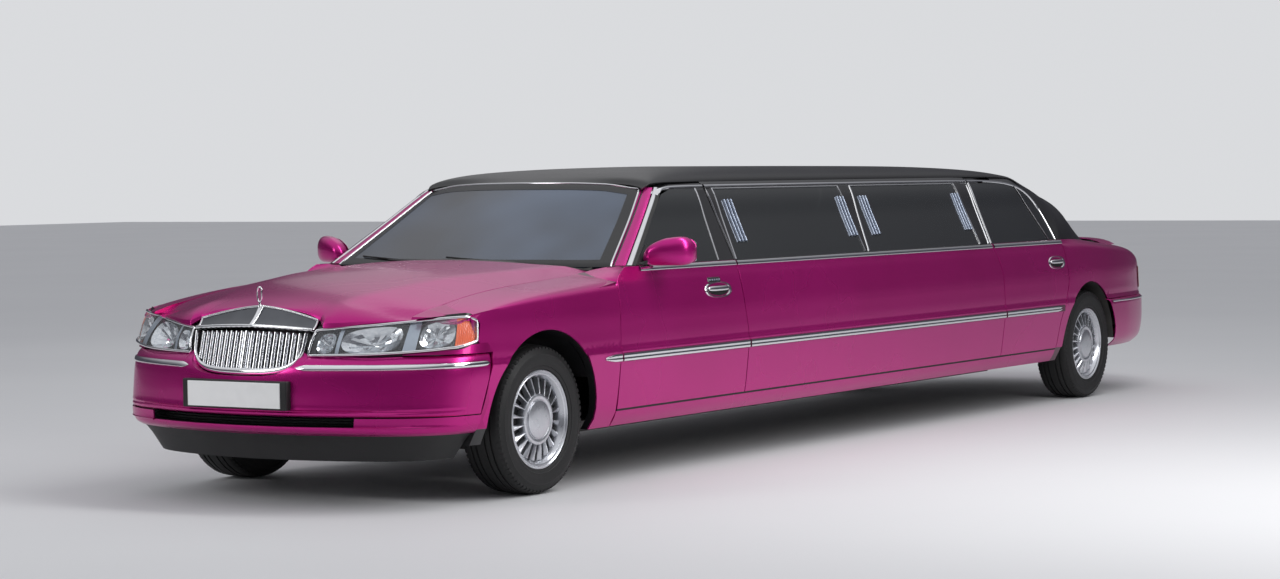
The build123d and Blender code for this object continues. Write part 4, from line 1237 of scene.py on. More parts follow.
bezel = bmesh.new()
around = ([lamp_place(f, 0.02, -0.002) for f in steps_between(0.012, 0.985, 60)]
          + [lamp_place(0.992, t, -0.002) for t in steps_between(0.06, 0.94, 10)]
          + [lamp_place(f, 0.98, -0.002) for f in steps_between(0.985, 0.012, 60)]
          + [lamp_place(0.006, t, -0.002) for t in steps_between(0.94, 0.06, 10)])
loop_tube(bezel, around, 0.0062)
pair("lamp_bezel", bezel, chrome, "car", "chrome", sharp=60)
gap = laid(steps_between(0, 1, 60), [0, 1], lambda f,
                t: lamp_place(f, 0.02, 0.012) + Vector((0, 0.012 * t, -0.022 * t)))
patch(gap, steps_between(0, 1, 60), [0, 1], lambda f,
      t: lamp_place(f, 0.98, 0.012) + Vector((0, 0.014 * t, 0.020 * t)))
patch(gap, [0, 1], steps_between(0, 1, 8), lambda u,
      t: lamp_place(0.01, t, 0.012) + Vector((-0.020 * u, 0.012 * u, 0)))
face_outwards(gap, LAMP_FACE)
pair("lamp_gap", gap, lamp_black, "car", "trim")

# Side mouldings. A wide strip of chromed plastic is clipped along each flank at bumper height, cut at the
# door gaps and pointed at both ends.
def ribbon(bm, points, half_width, lift, surface, rows=6, ends=(1.0, 1.0)):
    """Lays a rounded strip along a side-view or front-view path on a surface that takes (a, b, proud)."""
    count = len(points) - 1

    def place(step, t):
        index = round(step)
        here = Vector(points[index])
        tangent = (Vector(points[min(index + 1, count)]) - Vector(points[max(index - 1, 0)])).normalized()
        near_end = min(1.0, ends[0] + (1 - ends[0]) * step / 3, ends[1] + (1 - ends[1]) * (count - step) / 3)
        width = (half_width(index / count) if callable(half_width) else half_width) * near_end
        spot = here + Vector((-tangent.y, tangent.x)) * width * t
        return surface(spot.x, spot.y,
                       -0.003 + (lift + 0.003) * (1 - abs(t) ** 5) * min(1.0, near_end + 0.5))

    patch(bm, steps_between(0, count, count), steps_between(-1, 1, rows), place)


MOULDING = [(0.566, 0.984), (0.568, 0.992), (0.574, 0.9945), (0.581, 0.9935), (0.585, 0.9925),
            (0.589, 0.9935), (0.596, 0.9945), (0.602, 0.992), (0.604, 0.984)]


def moulding_piece(name, y_low, y_high, body, points_at=()):
    """A length of the side moulding, narrowed to a point at the ends that are named."""
    bm = bmesh.new()
    ways = ([y_low, y_low + 0.004, y_low + 0.02, y_low + 0.06]
            + steps_between(y_low + 0.1, y_high - 0.1, 24)
            + [y_high - 0.06, y_high - 0.02, y_high - 0.004, y_high])

    def place(y, row):
        z, x = MOULDING[round(row)]
        for end in points_at:
            tip = min(1.0, abs(y - (y_low if end == "front" else y_high)) / 0.075)
            z = 0.585 + (z - 0.585) * (0.25 + 0.75 * tip ** 0.7)
            x = x - 0.006 * (1 - tip) ** 2
        return Vector((x * (1 if 0.19 < y < 5.638 else TAPER(y)), y, z))

    patch(bm, ways, steps_between(0, len(MOULDING) - 1, len(MOULDING) - 1), place)
    face_outwards(bm, LEFT)
    for end_way in (0, -1):
        rim = sorted((corner for corner in bm.verts if abs(corner.co.y - ways[end_way]) < 1e-6),
                     key=lambda c: c.co.z)
        if len(rim) > 2:
            bm.faces.new(rim)
    bmesh.ops.recalc_face_normals(bm, faces=bm.faces)
    pair(name, bm, chrome, body, "chrome", sharp=50)


moulding_piece("moulding_wing_{}", 0.418, 0.549, "car", ("front",))
moulding_piece("moulding_front_door_{}", 0.562, 1.7215, "front_{}_door")
moulding_piece("moulding_panel_{}", 1.737, 4.7025, "car")
moulding_piece("moulding_rear_door_{}", 4.7205, 5.535, "rear_{}_door", ("rear",))

# Belt strips. A flat bright strip covers the rubber seal at the foot of every side window, from the mirror
# to the end of the rear door.
BELT_LOW, BELT_HIGH = 0.9755, 0.9995


def belt_piece(name, y_low, y_high, body):
    bm = bmesh.new()
    section = [(0, -0.002), (0.06, 0.0045), (0.25, 0.007), (0.5, 0.0075), (0.78, 0.006), (0.94, 0.0035),
               (1, -0.004)]
    patch(bm, steps_between(y_low, y_high, max(4, round((y_high - y_low) / 0.12))), steps_between(0, 6, 6),
          lambda y, row: flank(y, BELT_LOW + (BELT_HIGH - BELT_LOW) * section[round(row)][0],
                               section[round(row)][1]))
    face_outwards(bm, LEFT)
    pair(name, bm, chrome, body, "chrome", sharp=50)


belt_piece("belt_front_door_{}", 0.810, 1.696, "front_{}_door")
belt_piece("belt_panel_{}", 1.709, 4.650, "car")
belt_piece("belt_rear_door_{}", 4.676, 5.632, "rear_{}_door")

# Door handles. Each is a chromed lift bar in an oval chromed dish, screwed through the door skin, with a
# round lock at its rear.
handle_black = Finish("handle_shadow", Base_Color=(0.006, 0.006, 0.006), Roughness=0.5)
handle_black.relief(handle_black.cloud(100.0), 0.0002)
for end, y_low, y_high, level in (("front", 1.343, 1.597, 0.863), ("rear", 5.372, 5.610, 0.865)):
    middle, half = (y_low + y_high) / 2, (y_high - y_low) / 2
    dish_mesh = bmesh.new()

    def dish_place(turn, out, sink=0.0):
        u = 0.985 * half * out * bent(math.cos(turn), 0.8)
        v = 0.040 * out * bent(math.sin(turn), 0.9)
        proud = 0.0045 if 0.82 < out < 0.97 else (-0.001 if out >= 0.97 else -0.006 + sink)
        return flank(middle + u, level + v, proud)

    patch(dish_mesh, steps_between(0, math.tau, 56), [0.02, 0.3, 0.6, 0.78, 0.84, 0.90, 0.95, 1.0],
          dish_place)
    for corner in dish_mesh.verts:
        if corner.co.x < flank(corner.co.y, corner.co.z, -0.004).x:
            corner.co.x += 0.0045
    face_outwards(dish_mesh, LEFT)
    pair(end + "_handle_dish", dish_mesh, chrome, end + "_{}_door", "chrome", sharp=50)
    hollow = bmesh.new()
    patch(hollow, steps_between(0, math.tau, 40), [0.05, 0.5, 1.0],
          lambda turn, out: flank(middle + 0.74 * half * out * math.cos(turn),
                                  level - 0.004 + 0.024 * out * math.sin(turn), 0.0008))
    face_outwards(hollow, LEFT)
    pair(end + "_handle_hollow", hollow, handle_black, end + "_{}_door", "trim")
    grip = bmesh.new()
    patch(grip, steps_between(-1, 1, 20), steps_between(0, math.tau, 12),
          lambda s, turn: flank(middle + 0.80 * half * s,
                                level + 0.006 + 0.0125 * math.sin(turn) * (1 - s ** 6) ** 0.5,
                                0.010 - 0.006 * s ** 2 + 0.0065 * math.cos(turn) * (1 - s ** 6) ** 0.5))
    bmesh.ops.remove_doubles(grip, verts=grip.verts, dist=WELD)
    bmesh.ops.recalc_face_normals(grip, faces=grip.faces)
    pair(end + "_handle_grip", grip, chrome, end + "_{}_door", "chrome", sharp=70)

# Keypad. A small black plastic pad with five plain rubber keys, let into the front doors over the handles.
keypad = laid(steps_between(1.383, 1.507, 16), steps_between(0.899, 0.925, 6),
              lambda y, z: flank(y, z, 0.004 if 1.386 < y < 1.504 and 0.902 < z < 0.922 else -0.001))
face_outwards(keypad, LEFT)
pair("keypad", keypad, lamp_black, "front_{}_door", "trim", sharp=30)
keys = bmesh.new()
for index in range(5):
    key_y = 1.396 + index * 0.0215
    patch(keys, steps_between(key_y, key_y + 0.0165, 4), steps_between(0.907, 0.917, 4),
          lambda y, z: flank(y, z, 0.0055 if key_y < y < key_y + 0.0164 and 0.9071 < z < 0.9169 else 0.003))
face_outwards(keys, LEFT)
pair("keypad_keys", keys, band_grey, "front_{}_door", "trim", sharp=40)

# Windscreen. Laminated glass with a faint blue-grey tint and a black printed border, glued to the body and
# framed at its sides and top by a bright moulding. Broad lighter blue patches on the dark glass are painted
# reflection.
CABIN_HALF = through((1.0, 0.914), (1.2, 0.803), (1.35, 0.720), (1.385, 0.690), (1.425, 0.640),
                     (1.49, 0.560))
CABIN_FRONT = through((1.0, 0.590), (1.2, 0.900), (1.35, 1.125), (1.385, 1.180), (1.425, 1.262),
                      (1.49, 1.400))


def screen(x, z, proud=0.0):
    """The windscreen's place at that distance from the middle and height."""
    y = CABIN_FRONT(z) + 0.150 * (x / (0.9 * CABIN_HALF(z))) ** 2
    return Vector((x, y - 0.83 * proud, z + 0.55 * proud))


SCREEN_HALF = through((0.985, 0.8140), (1.002, 0.8055), (1.348, 0.6330), (1.40, 0.602))
SCREEN_TOP = through((0, 1.390), (0.20, 1.389), (0.45, 1.381), (0.61, 1.358))
SCREEN_FOOT = through((0, 0.992), (0.80, 0.996))


def screen_at(u, v, proud=0.0):
    """Over the windscreen: u from -1 to 1 across, v from 0 at its foot to 1 at its head."""
    x = u * 0.7
    for _ in range(6):
        z = SCREEN_FOOT(abs(x)) + (SCREEN_TOP(abs(x)) - SCREEN_FOOT(abs(x))) * v
        x = u * SCREEN_HALF(z)
    return screen(x, z, proud)


screen_glass = Finish("screen_glass", Roughness=0.02, IOR=1.45, Coat_Weight=1.0, Coat_Roughness=0.01)
# Painted reflection: a large soft cloud lightens the glass from near black to pale blue in broad patches.
screen_reflection_cloud = screen_glass.cloud(1.2, 2.0)
painted_screen_reflection = screen_glass.node("MapRange", {"interpolation_type": "SMOOTHSTEP"}, {
    "Value": screen_reflection_cloud, "From Min": 0.36, "From Max": 0.66})
screen_glass.tint(painted_screen_reflection, (0.006, 0.010, 0.020), (0.060, 0.090, 0.145))
screen_glass.set(Alpha=0.80 + 0.10 * screen_reflection_cloud)
screen_glass.material.surface_render_method = "DITHERED"
print_black = Finish("printed_black", Roughness=0.22)
print_black.tint(print_black.cloud(60.0), (0.004, 0.004, 0.004), (0.009, 0.009, 0.010))
pane = laid(steps_between(-1, 1, 40), steps_between(0, 1, 20), lambda u, v: screen_at(u, v, 0.001))
piece("windscreen_glass", walled(pane, Vector((0, -1, 0.6)), 0.005), screen_glass, "car", "glass",
      ("windscreen",))
border = bmesh.new()
for u_low, u_high, v_low, v_high in ((-1, 1, 0, 0.09), (-1, 1, 0.925, 1), (-1, -0.93, 0.09, 0.925),
                                     (0.93, 1, 0.09, 0.925)):
    patch(border, steps_between(u_low, u_high, 40 if u_high - u_low > 1 else 2),
          steps_between(v_low, v_high, 3 if v_high - v_low < 0.5 else 20), lambda u,
          v: screen_at(u, v, 0.0022))
face_outwards(border, Vector((0, -1, 0.6)))
piece("windscreen_border", border, print_black, "car", "trim")
moulding_bright = bmesh.new()
for side in (-1, 1):
    tube(moulding_bright, [screen_at(side * 1.004, v, 0.001) for v in steps_between(0.0, 0.985, 20)], 0.0062,
         8)
tube(moulding_bright, [screen_at(u, 1.004, 0.002) for u in steps_between(-1, 1, 30)], 0.0048, 8)
piece("windscreen_moulding", moulding_bright, chrome, "car", "chrome", sharp=60)

# Windscreen pillars. Pressed steel wrapped like the body; each stands between the windscreen's moulding and
# the front door's frame, from the wing up to the roof's front corner.
PILLAR_OUT = through((0.985, 0.8245), (1.002, 0.8155), (1.348, 0.6435), (1.40, 0.612))
pillars = bmesh.new()


def pillar_place(v, t):
    """Up the pillar with v and from the windscreen, t 0, round its corner to the door's frame, t 1."""
    z = 0.972 + (1.372 - 0.972) * v
    inner = screen(SCREEN_HALF(z) + 0.003, z, 0.004)
    outer = Vector((PILLAR_OUT(z) - 0.001, CABIN_FRONT(z) + 0.168, z))
    corner = Vector((PILLAR_OUT(z) - 0.0005, screen(PILLAR_OUT(z), z).y - 0.003, z))
    return inner * (1 - t) ** 2 + corner * (2 * t * (1 - t)) + outer * t ** 2


patch(pillars, steps_between(0, 1, 24), steps_between(0, 1, 10), pillar_place)
pair("windscreen_pillar", walled(pillars, Vector((0.5, -1, 0.5)), 0.006), wrap, "car", "paint", bevel=0.001)

# Roof. Pressed steel under a padded black vinyl cover, glued and stitched, which runs from the windscreen's
# head down the rear quarters to the belt and frames the rear window.
vinyl = Finish("black_vinyl", Coat_Weight=0.12, Coat_Roughness=0.25, Specular_IOR_Level=0.32)
vinyl_cloud = vinyl.cloud(2.5, 3.0)
vinyl_grain = vinyl.node("TexVoronoi", {"feature": "F1"}, {"Vector": vinyl.where, "Scale": 320.0})
vinyl.tint(vinyl_cloud, (0.005, 0.005, 0.0055), (0.011, 0.011, 0.012))
vinyl.set(Roughness=0.30 + 0.10 * vinyl_cloud)
vinyl.relief(vinyl_grain, 0.0006, 0.35)
roof_rows = [
    (0.0, (0.650, 1.262, 1.362), (0.598, 1.226, 1.393), (0.0, 1.193, 1.395)),
    (1.0, (0.672, 1.330, 1.387), (0.625, 1.320, 1.432), (0.0, 1.300, 1.424)),
    (2.0, (0.682, 1.470, 1.391), (0.645, 1.470, 1.452), (0.0, 1.470, 1.453)),
    (3.0, (0.684, 1.900, 1.3925), (0.655, 1.900, 1.465), (0.0, 1.900, 1.4685)),
    (4.0, (0.684, 2.400, 1.3925), (0.657, 2.400, 1.468), (0.0, 2.400, 1.473)),
    (5.0, (0.684, 3.400, 1.3925), (0.657, 3.400, 1.467), (0.0, 3.400, 1.4715)),
    (6.0, (0.684, 4.500, 1.392), (0.657, 4.500, 1.463), (0.0, 4.500, 1.466)),
    (7.0, (0.680, 5.150, 1.390), (0.655, 5.150, 1.443), (0.0, 5.150, 1.451)),
    (8.0, (0.678, 5.400, 1.382), (0.658, 5.420, 1.415), (0.0, 5.450, 1.426)),
    (9.0, (0.706, 5.560, 1.310), (0.669, 5.660, 1.393), (0.0, 5.720, 1.403)),
    (10.0, (0.780, 5.632, 1.185), (0.688, 5.860, 1.379), (0.0, 5.950, 1.381)),
    (11.0, (0.840, 5.648, 1.080), (0.700, 5.990, 1.364), (0.0, 6.100, 1.360)),
    (12.0, (0.903, 5.652, 0.985), (0.708, 6.100, 1.344), (0.0, 6.220, 1.334)),
    (13.0, (0.884, 5.850, 0.983), (0.698, 6.215, 1.307), (0.0, 6.340, 1.299)),
    (14.0, (0.850, 6.020, 0.978), (0.664, 6.325, 1.238), (0.0, 6.460, 1.246)),
    (15.0, (0.814, 6.180, 0.970), (0.625, 6.425, 1.158), (0.0, 6.570, 1.196)),
    (16.0, (0.774, 6.340, 0.960), (0.594, 6.525, 1.072), (0.0, 6.690, 1.134)),
    (17.0, (0.733, 6.500, 0.948), (0.592, 6.625, 1.004), (0.0, 6.810, 1.064)),
    (18.0, (0.710, 6.650, 0.950), (0.625, 6.740, 0.974), (0.0, 6.905, 1.006)),
    (19.0, (0.702, 6.790, 0.942), (0.640, 6.860, 0.957), (0.0, 6.950, 0.986)),
    (20.0, (0.700, 6.950, 0.922), (0.655, 6.972, 0.930), (0.0, 6.977, 0.966)),
]
ROOF_SIDE = path(*[row[1] for row in roof_rows])
ROOF_CORNER = path(*[row[2] for row in roof_rows])
ROOF_MIDDLE = path(*[row[3] for row in roof_rows])
BACK_HEAD_ROW, BACK_FOOT_ROW = 11.35, 18.6
back_half = through((0.0, 0.430), (0.03, 0.480), (0.10, 0.505), (0.5, 0.535), (0.92, 0.545), (0.97, 0.535),
                    (1.0, 0.500))


def roof_section(s, t):
    """A row of the roof, from its side edge at t 0 to the middle at t 1."""
    low, corner, high = ROOF_SIDE(s), ROOF_CORNER(s), ROOF_MIDDLE(s)
    first, second = low.lerp(corner, 0.80), high.lerp(corner, 0.70)
    spot = cubic(low, first, second, high, t)
    if s < 3:
        spot.y += 0.062 * (spot.x / 0.6) ** 2 * (1 - s / 3) ** 2 * min(1.0, t * 2.2)
    return spot


def back_edge(s):
    """How far over the roof's row the rear window begins."""
    share = min(max((s - BACK_HEAD_ROW) / (BACK_FOOT_ROW - BACK_HEAD_ROW), 0.0), 1.0)
    low, high = 0.0, 1.0
    for _ in range(24):
        middle = (low + high) / 2
        if roof_section(s, middle).x > back_half(share):
            low = middle
        else:
            high = middle
    return low


row_list = (steps_between(0, 11, 66) + [BACK_HEAD_ROW] + steps_between(11.5, 18.5, 42)
            + [BACK_FOOT_ROW] + steps_between(18.8, 20, 6))
edges_at = {s: back_edge(s) for s in row_list}
COLUMNS_SIDE, COLUMNS_BACK = 12, 8


def roof_place(s, c, sink=0.0):
    """Over the roof by row s and column c: to the rear window's edge at c 1 and to the middle at c 2."""
    edge = edges_at[s] if s in edges_at else back_edge(s)
    t = edge * c if c <= 1 else edge + (1 - edge) * (c - 1)
    spot = roof_section(s, t)
    return spot - Vector((0.3 * spot.x, 0.0, 1.0)).normalized() * sink if sink else spot


def whole(half):
    """Both halves of a middle piece, from its left half."""
    both = half.copy()
    add(both, mirrored(half))
    half.free()
    return both


columns = steps_between(0, 1, COLUMNS_SIDE) + steps_between(1, 2, COLUMNS_BACK)[1:]
half_roof = laid(row_list, columns, roof_place)
window_faces = []
corner_row = {}
for s in row_list:
    for c in columns:
        corner_row[tuple(round(value, 5) for value in roof_place(s, c))] = (s, c)
for face in half_roof.faces:
    keys_of = [corner_row.get(tuple(round(value, 5) for value in corner.co)) for corner in face.verts]
    if all(keys_of):
        s_low, c_low = min(key[0] for key in keys_of), min(key[1] for key in keys_of)
        if BACK_HEAD_ROW - 1e-6 <= s_low < BACK_FOOT_ROW - 1e-6 and c_low >= 1 - 1e-6:
            window_faces.append(face)
bmesh.ops.delete(half_roof, geom=window_faces, context="FACES")
roof_mesh = whole(half_roof)
piece("vinyl_roof", walled(roof_mesh, UP, 0.010), vinyl, "car", "vinyl", ("roof",),
      bevel=0.0015, sharp=40)

# Side windows. Flat toughened panes, tinted almost black; the two long ones are glued outside glossy black
# pillars, and the doors' panes slide in frames with bright edges.
side_glass = Finish("dark_side_glass", Roughness=0.02, IOR=1.5, Coat_Weight=0.7, Coat_Roughness=0.01)
side_tone = side_glass.cloud(0.8, 2.0)
side_glass.tint(side_tone, (0.003, 0.004, 0.0045), (0.007, 0.009, 0.010))
side_glass.set(Alpha=0.88 + 0.06 * side_tone)
side_glass.material.surface_render_method = "DITHERED"
gloss_black = Finish("gloss_black_pillar", Roughness=0.10, Coat_Weight=0.5, Coat_Roughness=0.03)
gloss_black.tint(gloss_black.cloud(4.0), (0.003, 0.003, 0.003), (0.006, 0.006, 0.007))
CORNER_Y = 0.195


def cabin_side(y, z, proud=0.0):
    """The cabin side's place at that Y and height, from the front corner back to the rear window's."""
    front = CABIN_FRONT(z)
    if y < front + CORNER_Y:
        share = max(0.9, 0.9 + 0.1 * (y - front - 0.150) / 0.045)
    elif y < 4.9:
        share = 1 - 0.01 * max(0.0, y - 4.6) / 0.3
    else:
        share = 0.99 - 0.02 * (y - 4.9) / 0.75
    return Vector((CABIN_HALF(z) * share + proud, y, z + 0.45 * proud))


def side_pane(bm, lead, trail, low, high, across, up, proud):
    """A patch of the cabin side between a leading and a trailing edge, each a Y for a height."""
    patch(bm, steps_between(0, 1, across), steps_between(low, high, up),
          lambda share, z: cabin_side(lead(z) + (trail(z) - lead(z)) * share, z, proud))


PANE_LOW, PANE_HIGH = 1.001, 1.354
front_pane_lead = through((1.0, 0.792), (1.1, 0.945), (1.2, 1.099), (1.25, 1.174), (1.29, 1.238),
                          (1.32, 1.290), (1.340, 1.335), (1.354, 1.410))
front_pane_trail = through((1.0, 1.545), (1.356, 1.652))
rear_pane_lead = through((1.0, 4.682), (1.356, 4.790))
rear_pane_trail = through((1.0, 5.622), (1.10, 5.616), (1.20, 5.590), (1.27, 5.535), (1.31, 5.460),
                          (1.335, 5.370), (1.354, 5.250))
long_edges = [(through((1.0, 1.733), (1.354, 1.828)), through((1.0, 3.094), (1.354, 3.140))),
              (through((1.0, 3.146), (1.354, 3.290)), through((1.0, 4.519), (1.354, 4.562)))]
PANE_FACE = Vector((1, 0, 0.4))
for name, lead, trail, body, stands in (
    ("front_door_pane_{}", front_pane_lead, front_pane_trail, "front_{}_door", ("front_door_glass_{}",)),
    ("rear_door_pane_{}", rear_pane_lead, rear_pane_trail, "rear_{}_door", ("rear_door_glass_{}",)),
    ("long_pane_ahead_{}", *long_edges[0], "car", ("side_glass_{}",)),
    ("long_pane_behind_{}", *long_edges[1], "car", ()),
):
    glass_mesh = bmesh.new()
    side_pane(glass_mesh, lead, trail, PANE_LOW, PANE_HIGH, 24, 16, -0.002 if body == "car" else 0.0005)
    pair(name, walled(glass_mesh, PANE_FACE, 0.004), side_glass, body, "glass", stands)

# Panel pillars. Painted gloss black, they carry the long panes between the doors, with a rail above them.
panel_lead = through((1.0, 1.7065), (1.384, 1.751), (1.40, 1.753))
panel_trail = through((1.0, 4.649), (1.384, 4.759), (1.40, 4.763))
posts = bmesh.new()
for lead, trail in ((panel_lead, long_edges[0][0]), (long_edges[0][1], long_edges[1][0]),
                    (long_edges[1][1], panel_trail)):
    side_pane(posts, lambda z, edge=lead: edge(min(z, 1.40)), lambda z, edge=trail: edge(z),
              PANE_LOW - 0.006, PANE_HIGH, 6, 16, 0.0)
side_pane(posts, panel_lead, panel_trail, PANE_HIGH, 1.394, 60, 6, 0.0)
pair("panel_post", walled(posts, PANE_FACE, 0.006), gloss_black, "car", "trim", bevel=0.001)
ledge = laid(steps_between(1.7065, 4.649, 40), [0, 0.5, 1],
             lambda y, t: Vector((cabin_side(y, 1.0).x - 0.012 + 0.022 * t, y, 1.0015 - 0.002 * t)))
face_outwards(ledge, UP)
pair("belt_ledge", ledge, black_plastic, "car", "trim")

# Front door's window post. It slopes up beside the windscreen pillar, wrapped magenta, with a broad bright
# edge and a black rubber seal against the pane.
post_skin = bmesh.new()


def post_place(z, t):
    front = CABIN_FRONT(z)
    edge, half = PILLAR_OUT(z) + 0.0065, CABIN_HALF(z)
    inside = Vector((edge - 0.001, front + 0.166, z))
    corner = Vector((edge + 0.001, front + 0.1445, z))
    first = Vector((edge + 0.012, front + 0.1495, z))
    last = Vector((edge + (half - edge) * 0.58, front + 0.150 + 0.045 * 0.55 - 0.004, z))
    if t < 0.4:
        part = t / 0.4
        return inside * (1 - part) ** 2 + corner * (2 * part * (1 - part)) + first * part ** 2
    bulge = math.sin(math.pi * (t - 0.4) / 0.6)
    return first.lerp(last, (t - 0.4) / 0.6) + Vector((0.002, -0.004, 0)) * bulge


post_levels = steps_between(1.003, 1.366, 26)
patch(post_skin, post_levels, steps_between(0, 1, 14), post_place)
pair("door_post_skin", walled(post_skin, Vector((0.5, -1, 0.3)), 0.004), wrap, "front_{}_door", "paint",
     bevel=0.0008)
post_bright, post_seal = bmesh.new(), bmesh.new()


def beside_post(z, share, proud):
    front, edge, half = CABIN_FRONT(z), PILLAR_OUT(z) + 0.0065, CABIN_HALF(z)
    spot = Vector((edge + (half - edge) * share, front + 0.146 + 0.049 * share, z))
    return spot + Vector((0.44, -0.9, 0.2)) * proud


patch(post_bright, post_levels, steps_between(-1, 1, 8), lambda z,
      t: beside_post(z, 0.735 + 0.125 * t, 0.001 + 0.006 * (1 - t ** 4)))
patch(post_seal, post_levels, [0.87, 0.92, 0.97, 1.02],
      lambda z, share: (beside_post(z, share, 0.002) if share < 1
                        else cabin_side(CABIN_FRONT(z) + 0.204, z, 0.001)))
face_outwards(post_bright, Vector((0.5, -1, 0.2)))
face_outwards(post_seal, Vector((0.5, -1, 0.2)))
pair("door_post_bright", post_bright, chrome, "front_{}_door", "chrome", sharp=60)
pair("door_post_seal", post_seal, black_seal_and_gap_shade, "front_{}_door", "trim")

# Bright window edges. Rolled strips of polished steel are pressed on the door frames and the rail over the
# windows; a thinner one runs down each pillar beside the glass.
front_over = [(1.276, 1.330), (1.300, 1.343), (1.340, 1.356), (1.40, 1.3645), (1.48, 1.3675), (1.60, 1.3690),
              (1.738, 1.3695)]
rear_over = [(4.768, 1.3690), (4.95, 1.3675), (5.12, 1.3630), (5.27, 1.3540), (5.39, 1.3375), (5.48, 1.3120),
             (5.55, 1.2700), (5.598, 1.2100), (5.619, 1.1400), (5.628, 1.0700), (5.631, 1.003)]
panel_over = [(1.757, 1.3700), (2.5, 1.3705), (3.5, 1.3705), (4.755, 1.3695)]


def along_knots(knots, count):
    curve = path(*knots)
    return [curve(way) for way in steps_between(0, len(knots) - 1, count)]


for name, knots, count, body, half_width in (
    ("bright_over_front_{}", front_over, 36, "front_{}_door", 0.0075),
    ("bright_over_panel_{}", panel_over, 40, "car", 0.0075),
    ("bright_over_rear_{}", rear_over, 60, "rear_{}_door", 0.0075),
):
    strip_mesh = bmesh.new()
    ribbon(strip_mesh, along_knots(knots, count), half_width, 0.0065, cabin_side)
    face_outwards(strip_mesh, Vector((1, 0, 0.5)))
    pair(name, strip_mesh, chrome, body, "chrome", sharp=60)


def upright(edge, shift=0.0, low=1.004, high=1.358):
    return [(edge(z) + shift, z) for z in steps_between(low, high, 14)]


thin = bmesh.new()
for line in (upright(panel_lead, 0.010), upright(long_edges[0][0], -0.006), upright(long_edges[0][1], 0.006),
             upright(long_edges[1][0], -0.006), upright(long_edges[1][1], 0.006),
             upright(panel_trail, -0.010)):
    ribbon(thin, line, 0.0032, 0.0035, cabin_side, 4)
for lead, trail in long_edges:
    ribbon(thin, [(y, 1.3565) for y in steps_between(lead(1.354) - 0.006, trail(1.354) + 0.006, 20)], 0.0032,
           0.0035,
           cabin_side, 4)
face_outwards(thin, PANE_FACE)
pair("bright_panel_lines", thin, chrome, "car", "chrome", sharp=60)
for name, lines, body in (
    ("bright_front_lines_{}", [upright(front_pane_trail, 0.008)], "front_{}_door"),
    ("bright_rear_lines_{}", [upright(rear_pane_lead, -0.008)], "rear_{}_door"),
):
    thin = bmesh.new()
    for line in lines:
        ribbon(thin, line, 0.0040, 0.0045, cabin_side, 4)
    face_outwards(thin, PANE_FACE)
    pair(name, thin, chrome, body, "chrome", sharp=60)
divider, divider_bright = bmesh.new(), bmesh.new()
divider_line = [(5.525 - 0.120 * share, 1.004 + 0.325 * share) for share in steps_between(0, 1, 14)]
quarter_frame = bmesh.new()
frame_inner = path((5.12, 1.3655), (5.27, 1.3565), (5.39, 1.3400), (5.48, 1.3145), (5.552, 1.2725),
                   (5.600, 1.2110), (5.621, 1.1400), (5.630, 1.0700), (5.632, 1.003))
frame_outer = path((5.12, 1.3860), (5.27, 1.3850), (5.380, 1.3780), (5.48, 1.3420), (5.564, 1.2950),
                   (5.612, 1.2200), (5.630, 1.1500), (5.636, 1.0800), (5.638, 1.003))
patch(quarter_frame, steps_between(0, 8, 48), steps_between(0, 1, 4),
      lambda way, t: cabin_side(*frame_inner(way).lerp(frame_outer(way), t), 0.002 - 0.006 * t))
pair("rear_frame_corner", walled(quarter_frame, PANE_FACE, 0.003), gloss_black, "rear_{}_door",
     "trim")
ribbon(divider, divider_line, 0.011, 0.004, cabin_side, 4)
ribbon(divider_bright, [(y + 0.0, z) for y, z in divider_line], 0.0025, 0.0065, cabin_side, 4)
face_outwards(divider, PANE_FACE)
face_outwards(divider_bright, PANE_FACE)
pair("rear_window_divider", divider, gloss_black, "rear_{}_door", "trim", sharp=60)
pair("rear_divider_line", divider_bright, chrome, "rear_{}_door", "chrome", sharp=60)

# Opera bars. On each side, four sets of three chromed bars stand on the long panes, held by pins; their
# blue-grey colour is painted reflection.
bars_mesh = bmesh.new()
for foot_y, head_y in ((1.874, 1.909), (3.090 - 0.030, 3.132 - 0.030), (3.322, 3.363),
                       (4.521 - 0.050, 4.558 - 0.050)):
    for shift in (-0.033, 0.0, 0.033):
        line = [(foot_y + (head_y - foot_y) * share + shift,
                 1.088 + 0.210 * share) for share in steps_between(0, 1, 12)]
        ribbon(bars_mesh, line, 0.0068, 0.0085, cabin_side, 6)
face_outwards(bars_mesh, PANE_FACE)
# Painted reflection: the chromed bars are coloured blue-grey.
painted_reflection_bars = Finish("chrome_bars_painted_blue", Metallic=1.0)
bar_reflection_tone = painted_reflection_bars.cloud(30.0, 3.0)
painted_reflection_bars.tint(bar_reflection_tone, (0.22, 0.26, 0.34), (0.40, 0.44, 0.52), Roughness=0.16 + 0.1 * bar_reflection_tone)
pair("opera_bars", bars_mesh, painted_reflection_bars, "car", "chrome", sharp=60)

